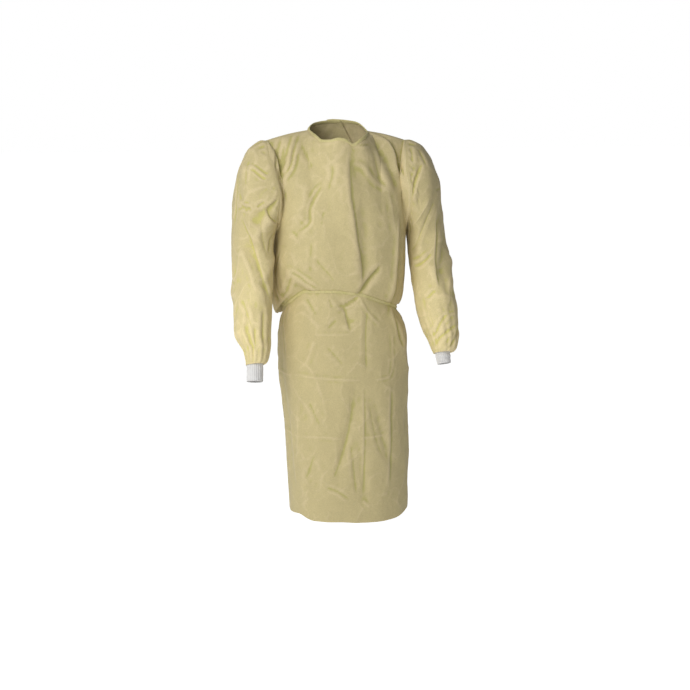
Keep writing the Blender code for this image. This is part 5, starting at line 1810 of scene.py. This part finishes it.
@dataclass(frozen=True)
class TiedEnds:
    """A plain knot with its two hanging ends."""

    middle: tuple[float, float, float]
    length: float
    stands_off: float
    corners: int = 12
    stops: int = 90
    tails: tuple[Tail, ...] = (
        Tail(-0.034, 0.15, 0.0042, 0.0006),
        Tail(-0.028, 0.11, 0.0044, 0.0006),
        Tail(-0.022, 0.07, 0.0044, 0.0006),
        Tail(-0.013, 0.034, 0.0042, 0.0007),
        Tail(-0.007, 0.012, 0.0038, 0.0012),
        Tail(-0.005, 0.003, 0.005, 0.0028),
        Tail(0, 0, 0.0056, 0.0032),
        Tail(0.005, 0.003, 0.005, 0.0028),
        Tail(0.009, 0.013, 0.0038, 0.0012),
        Tail(0.016, 0.036, 0.0042, 0.0007),
        Tail(0.022, 0.074, 0.0044, 0.0006),
        Tail(0.031, 0.112, 0.0044, 0.0006),
        Tail(0.034, 0.14, 0.0042, 0.0006),
    )
    gap: float = 0.0007
    cloth_reach: float = 0.009
    knot_reach: float = 0.010
    curl: float = 14.0
    curl_from: float = 0.02
    curl_full: float = 0.06
    wrap_stops: int = 28
    wrap_corners: int = 10
    wrap_half: float = 0.0006
    wraps: tuple[tuple[float, float, float, float], ...] = (
        (32.0, 0.0066, 0.0040, 0.0030),
        (-38.0, 0.0058, 0.0044, 0.0026),
    )

    def strips(self, cloth: Surface) -> list[Grid]:
        """The sections of the two ends in one strip, then of each wrap of the knot."""
        rows = np.array(self.tails)
        at = np.linspace(0, len(rows) - 1, self.stops)
        across, down, half_width, half_thickness = smooth(range(len(rows)), rows, at).T
        x = self.middle[0] + across
        z = self.middle[2] - down * self.length
        points = cloth.points.reshape(-1, 3)
        y = np.empty(len(x))
        for k in range(len(x)):
            near = np.abs(points[:, [0, 2]] - [x[k], z[k]]).max(axis=1) < self.cloth_reach / 2
            y[k] = points[near, 1].max() if near.any() else self.middle[1]
        y += half_thickness + self.gap
        y += self.stands_off * (1 - ramp(down * self.length, self.knot_reach, self.knot_reach * 2))
        for _ in range(4):
            y[1:-1] = np.maximum(y[1:-1], (y[:-2] + y[2:]) / 2)
        path = np.stack([x, y, z], axis=1)
        along = unit(np.gradient(path, axis=0))
        wide = unit(np.cross(along, [0.0, 1.0, 0.0]))
        thick = unit(np.cross(wide, along))
        roll = np.radians(self.curl) * np.sin(np.linspace(0, 3 * np.pi, len(path)))[:, None]
        roll = roll * ramp(down, self.curl_from, self.curl_full)[:, None]
        lean_wide = wide * np.cos(roll) + thick * np.sin(roll)
        lean_thick = thick * np.cos(roll) - wide * np.sin(roll)
        path = path + thick * (np.abs(np.sin(roll)) * half_width[:, None]) * np.sign(thick[:, 1:2])
        strip = flat_section(path, lean_wide, lean_thick, half_width, half_thickness, self.corners)
        knot = path[len(path) // 2]
        return [strip, *(self.wrap(knot, *sizes) for sizes in self.wraps)]

    def wrap(self, knot: Grid, tilt: float, across: float, deep: float, half_width: float) -> Grid:
        """One turn of tape round the knot, as closed sections."""
        turns = np.linspace(0, 2 * np.pi, self.wrap_stops, endpoint=False)
        level = np.array([math.cos(math.radians(tilt)), 0.0, math.sin(math.radians(tilt))])
        upright = np.array([-level[2], 0.0, level[0]])
        out = np.array([0.0, 1.0, 0.0])
        path = knot + np.cos(turns)[:, None] * level * across + np.sin(turns)[:, None] * out * deep
        thick = unit(np.cos(turns)[:, None] * level * deep + np.sin(turns)[:, None] * out * across)
        wide = np.broadcast_to(upright, path.shape)
        widths = half_width * (1 - 0.25 * np.cos(turns) ** 2)
        halves = np.full(len(path), self.wrap_half)
        return flat_section(path, wide, thick, widths, halves, self.wrap_corners)


@dataclass(frozen=True)
class Repeat:
    """Small rounded bodies set along paths by Geometry Nodes: stitches or weld dots."""

    name: str
    spacing: float
    length: float
    width: float
    height: float
    turned: float = 0.0
    seed: int = 3
    tree_name: str = "bodies along a path"

    def tree(self) -> Tree:
        """The node tree, made once, with its sizes as named inputs."""
        found = bpy.data.node_groups.get(self.tree_name)
        if found is not None:
            return found
        tree = bpy.data.node_groups.new(self.tree_name, "GeometryNodeTree")
        kinds = {"Paths": "Geometry", "Spacing": "Float", "Length": "Float", "Width": "Float"}
        kinds |= {"Height": "Float", "Turned": "Float", "Seed": "Int", "Finish": "Material"}
        for name, kind in kinds.items():
            tree.interface.new_socket(name, in_out="INPUT", socket_type="NodeSocket" + kind)
        tree.interface.new_socket("Bodies", in_out="OUTPUT", socket_type="NodeSocketGeometry")
        add = partial(add_node, tree)
        given = add("NodeGroupInput")
        lines = add("GeometryNodeMeshToCurve", {"Mesh": given["Paths"]})["Curve"]
        values = {"Curve": lines, "Length": given["Spacing"]}
        even = add("GeometryNodeResampleCurve", values, mode="LENGTH")["Curve"]
        body = add("GeometryNodeMeshUVSphere", {"Segments": 6, "Rings": 4, "Radius": 0.5})["Mesh"]
        values = {"X": given["Length"], "Y": given["Width"], "Z": given["Height"]}
        size = add("ShaderNodeCombineXYZ", values)["Vector"]
        away = add("GeometryNodeInputNamedAttribute", {"Name": "away"}, data_type="FLOAT_VECTOR")
        values = {"Vector": away["Attribute"]}
        upright = add("FunctionNodeAlignRotationToVector", values, axis="Z")["Rotation"]
        values = {"Rotation": upright, "Vector": add("GeometryNodeInputTangent")["Tangent"]}
        ahead = add("FunctionNodeAlignRotationToVector", values, axis="X", pivot_axis="Z")
        low = add("ShaderNodeMath", {0: given["Turned"], 1: -1.0}, operation="MULTIPLY")[0]
        values = {2: low, 3: given["Turned"], "Seed": given["Seed"]}
        chance = add("FunctionNodeRandomValue", values, data_type="FLOAT")[1]
        spin = add("ShaderNodeCombineXYZ", {"Z": chance})["Vector"]
        values = {"Rotation": ahead["Rotation"], "Rotate By": spin}
        turned = add("FunctionNodeRotateRotation", values, rotation_space="LOCAL")["Rotation"]
        values = {"Points": even, "Instance": body, "Rotation": turned, "Scale": size}
        placed = add("GeometryNodeInstanceOnPoints", values)["Instances"]
        real = add("GeometryNodeRealizeInstances", {"Geometry": placed})["Geometry"]
        values = {"Geometry": real, "Material": given["Finish"]}
        bodies = add("GeometryNodeSetMaterial", values)["Geometry"]
        add("NodeGroupOutput", {"Bodies": bodies})
        return tree

    def make(self, paths: list[tuple[Grid, Grid]], finish: Material) -> Piece:
        """Set the bodies along the paths.

        Args:
            paths: For each path its points and the outward directions there.
            finish: The bodies' material.

        Returns:
            One plain mesh piece.
        """
        points, edges, away = [], [], []
        for line, normals in paths:
            start = len(points)
            points += line.tolist()
            away += normals.tolist()
            edges += [(start + k, start + k + 1) for k in range(len(line) - 1)]
        guide = bpy.data.meshes.new(self.name + "_guide")
        guide.from_pydata(points, edges, [])
        stored = guide.attributes.new("away", "FLOAT_VECTOR", "POINT")
        stored.data.foreach_set("vector", np.array(away).ravel())
        holder = bpy.data.objects.new(self.name + "_guide", guide)
        bpy.context.collection.objects.link(holder)
        tree = self.tree()
        modifier = holder.modifiers.new("bodies", "NODES")
        modifier.node_group = tree
        values = {
            "Spacing": self.spacing, "Length": self.length, "Width": self.width,
            "Height": self.height, "Turned": self.turned, "Seed": self.seed, "Finish": finish,
        }
        for item in tree.interface.items_tree:
            if item.in_out == "INPUT" and item.name in values:
                modifier[item.identifier] = values[item.name]
        bpy.context.view_layer.update()
        evaluated = holder.evaluated_get(bpy.context.evaluated_depsgraph_get())
        mesh = bpy.data.meshes.new_from_object(evaluated)
        mesh.name = self.name
        holder.modifiers.remove(modifier)
        bpy.data.objects.remove(holder)
        bpy.data.meshes.remove(guide)
        mesh.materials.clear()
        return new_object(self.name, mesh, finish)


@dataclass(frozen=True)
class Seams:
    """Where the gown is stitched, as paths on the outside of its pieces."""

    inset_columns: int = 1
    row: int = -2
    lift: float = 0.00045

    def paths(
        self, front: Surface, backs: tuple[Surface, Surface], body: GownBody
    ) -> list[tuple[Grid, Grid]]:
        """The side, shoulder and armhole stitches."""
        steps = body.steps
        underarm = (UNDERARM - TIP) * steps
        insets = (self.inset_columns, -1 - self.inset_columns)
        found = [self.line(front, slice(3, -3), column) for column in insets]
        shoulder = (TIP - NECK_POINT) * steps
        width = front.points.shape[1]
        far = width - 1 - underarm
        left, right = backs
        behind = (BACK_TIP - UNDERARM) * steps
        wide = left.points.shape[1]
        for panel, columns in (
            (front, range(underarm, underarm + shoulder + 1)),
            (front, range(far - shoulder, far + 1)),
            (front, range(1, underarm + 1)),
            (front, range(far, width - 1)),
            (left, range(1, behind)),
            (right, range(wide - behind, wide - 1)),
        ):
            found.append(self.line(panel, self.row, list(columns)))
        return found

    def line(
        self, panel: Surface, rows: int | slice, columns: int | list[int]
    ) -> tuple[Grid, Grid]:
        """A path up one column of a panel, or along one of its rows."""
        normals = panel.normals[rows, columns]
        return panel.points[rows, columns] + normals * self.lift, normals

    def ring(self, tube: Surface) -> tuple[Grid, Grid]:
        """A path round the end of a tube."""
        return self.line(tube, self.row, [*range(tube.points.shape[1]), 0])

    @staticmethod
    def on_binding(sections: Grid, corner: int) -> tuple[Grid, Grid]:
        """A path along the outside of the neck binding."""
        line = sections[:, corner]
        inside = sections[:, -1 - 3 - corner]
        away = unit(line - inside)
        return line + away * 0.0001, away


@dataclass(frozen=True)
class Studio:
    """The camera at the photograph's angle, the soft lights and the pale floor."""

    image_pixels: float = 690.0
    focal_pixels: float = 1120.0
    sensor: float = 36.0
    shift_pixels: float = 4.0
    eye: tuple[float, float, float] = (-0.665, -3.13, 0.10)
    tilt: float = 77.5
    turn: float = -12.0
    floor_height: float = -1.46
    floor_size: float = 60.0
    floor_colour: Colour = (0.92, 0.92, 0.92)
    floor_roughness: float = 0.9
    key_power: float = 52.0
    key_size: float = 2.0
    key_place: tuple[float, float, float] = (-1.75, -1.95, 0.95)
    fill_power: float = 4.0
    fill_size: float = 2.5
    fill_place: tuple[float, float, float] = (1.6, -3.0, 0.2)
    aim: tuple[float, float, float] = (0.0, 0.0, -0.35)
    ambient_left: float = 0.50
    ambient_right: float = 0.04
    floor_glow: float = 0.78
    floor_bounce: float = 0.30

    def build(self) -> None:
        """Set up the camera, the lights, the surroundings and the floor."""
        self.camera()
        self.light("key", self.key_place, self.key_size, self.key_power)
        self.light("fill", self.fill_place, self.fill_size, self.fill_power)
        self.surroundings()
        self.floor()
        bpy.context.scene.view_settings.view_transform = "Standard"

    def camera(self) -> None:
        """Place the camera."""
        data = bpy.data.cameras.new("camera")
        data.sensor_width = self.sensor
        data.lens = self.focal_pixels / self.image_pixels * self.sensor
        data.shift_x = self.shift_pixels / self.image_pixels
        data.dof.use_dof = False
        camera = bpy.data.objects.new("camera", data)
        camera.location = self.eye
        camera.rotation_euler = (math.radians(self.tilt), 0.0, math.radians(self.turn))
        bpy.context.collection.objects.link(camera)
        bpy.context.scene.camera = camera

    def light(self, name: str, place: tuple[float, float, float], size: float, power: float) -> None:
        """Hang one soft light, aimed at the gown."""
        data = bpy.data.lights.new(name, "AREA")
        data.shape = "DISK"
        data.size = size
        data.energy = power
        light = bpy.data.objects.new(name, data)
        light.location = place
        way = Vector(self.aim) - Vector(place)
        light.rotation_euler = way.to_track_quat("-Z", "Y").to_euler()
        bpy.context.collection.objects.link(light)

    def surroundings(self) -> None:
        """White all round as the camera sees it, with a dimmer light that fades to the right."""
        world = bpy.data.worlds.new("studio")
        world.use_nodes = True
        bpy.context.scene.world = world
        tree = world.node_tree
        add = partial(add_node, tree)
        seen = tree.nodes["Background"]
        give(tree, seen, {"Color": WHITE, "Strength": 1.0})
        way = add("ShaderNodeSeparateXYZ", {0: add("ShaderNodeTexCoord")["Generated"]})["X"]
        values = {"Value": way, "From Min": -1.0, "From Max": 1.0}
        values |= {"To Min": self.ambient_left, "To Max": self.ambient_right}
        share = add("ShaderNodeMapRange", values)["Result"]
        even = add("ShaderNodeBackground", {"Color": WHITE, "Strength": share})[0]
        ray = add("ShaderNodeLightPath")["Is Camera Ray"]
        both = add("ShaderNodeMixShader", {0: ray, 1: even, 2: seen.outputs[0]})[0]
        give(tree, tree.nodes["World Output"], {"Surface": both})

    def floor(self) -> None:
        """Lay the pale floor below the gown."""
        half = self.floor_size / 2
        mesh = bpy.data.meshes.new("floor")
        corners = [(-half, -half), (half, -half), (half, half), (-half, half)]
        mesh.from_pydata([(x, y, self.floor_height) for x, y in corners], [], [(0, 1, 2, 3)])
        nodes = Nodes("pale floor")
        ray = nodes.add("ShaderNodeLightPath")["Is Camera Ray"]
        share = nodes.stretch(ray, 0.0, 1.0, self.floor_bounce, self.floor_glow)
        values = {"Base Color": self.floor_colour, "Roughness": self.floor_roughness}
        values |= {"Emission Color": WHITE, "Emission Strength": share}
        give(nodes.tree, nodes.shader, values)
        mesh.materials.append(nodes.made)
        floor = bpy.data.objects.new("floor", mesh)
        bpy.context.collection.objects.link(floor)


@dataclass(frozen=True)
class Cut:
    """How a piece of cloth was cut, and how it is held."""

    width: float
    length: float
    area: float
    held: str
    rests_on: tuple[str, ...] = ()


def settle(piece: Piece, node: str) -> None:
    """Let a piece stand for its solid, and log its faces and the area of its cloth."""
    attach(piece, "root")
    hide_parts(node)
    cloth = sum(face.area for face in piece.data.polygons) / 2
    log.info("%s: %d faces, %.5f m2 for %s", piece.name, len(piece.data.polygons), cloth, node)


def sew(piece: Piece) -> None:
    """Let sewing ride with the gown."""
    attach(piece, "root")
    log.info("%s: %d faces", piece.name, len(piece.data.polygons))


def main() -> None:
    """Build the gown's looks round the frame."""
    logging.basicConfig(level=logging.INFO, format="%(message)s")
    Studio().build()
    cloth = ClothFinish().material()
    # A copy of the cloth for the sleeves, with painted light that makes it paler towards the wrists
    # and a greener painted shade in its creases.
    sleeve_cloth_painted_light = ClothFinish(
        name="nonwoven in one layer with painted light", deep=(0.50, 0.475, 0.105), painted_light_by=0.28
    ).material()
    tape = TapeFinish().material()
    knit = KnitFinish().material()
    thread = ThreadFinish().material()

    body = GownBody()
    grid = body.grid()
    front = body.front(grid)
    left, right = body.back(grid, Side.LEFT), body.back(grid, Side.RIGHT)
    for name, panel in (("front", front), ("back_left", left), ("back_right", right)):
        settle(make_shell(name + "_cloth", panel, body.thickness, cloth), name)

    seams = Seams()
    stitched = seams.paths(front, (left, right), body)
    for side, name in ((Side.LEFT, "left"), (Side.RIGHT, "right")):
        sleeve = Sleeve(side)
        surface = sleeve.surface()
        piece = make_shell(f"sleeve_{name}_cloth", surface, sleeve.thickness, sleeve_cloth_painted_light)
        settle(piece, f"sleeve_{name}")
        stitched.append(seams.ring(surface))
        cuff = Cuff(side)
        piece = make_shell(f"cuff_{name}_knit", cuff.surface(), cuff.thickness, knit, 0.0002)
        settle(piece, f"cuff_{name}")

    binding = NeckBinding().sections(front, (left, right), body)
    settle(make_swept("neck_binding_tape", [binding], tape), "neck_binding")
    strip = WaistTie().sections(grid, left, body)
    settle(make_swept("waist_tie_strip", [strip], tape), "waist_tie")

    centre = (NAPE - UNDERARM) * body.steps
    waist = left.points[grid.tie_rows[0] : grid.tie_rows[1] + 1, centre].mean(axis=0)
    nape = left.points[-1, centre] - [0, 0, BINDING_DEPTH / 2]
    for node, place, length, off in (
        ("waist_knot", waist, 1.0, 0.0022),
        ("neck_tie", nape, 0.8, 0.0018),
    ):
        strips = TiedEnds(tuple(place), length, off).strips(left)
        rings = tuple(range(1, len(strips)))
        settle(make_swept(node + "_ends", strips, tape, rings), node)

    stitched.append(seams.on_binding(binding, 2))
    stitch = Repeat("seam_stitches", 0.0036, 0.0026, 0.0005, 0.0004, 0.08)
    sew(stitch.make(stitched, thread))
    dots = Repeat("tie_weld_dots", 0.0050, 0.0016, 0.0010, 0.0004)
    middle = strip[:, 3]
    sew(dots.make([(middle, unit(middle - strip[:, 8]))], tape))


if __name__ == "__main__":
    main()
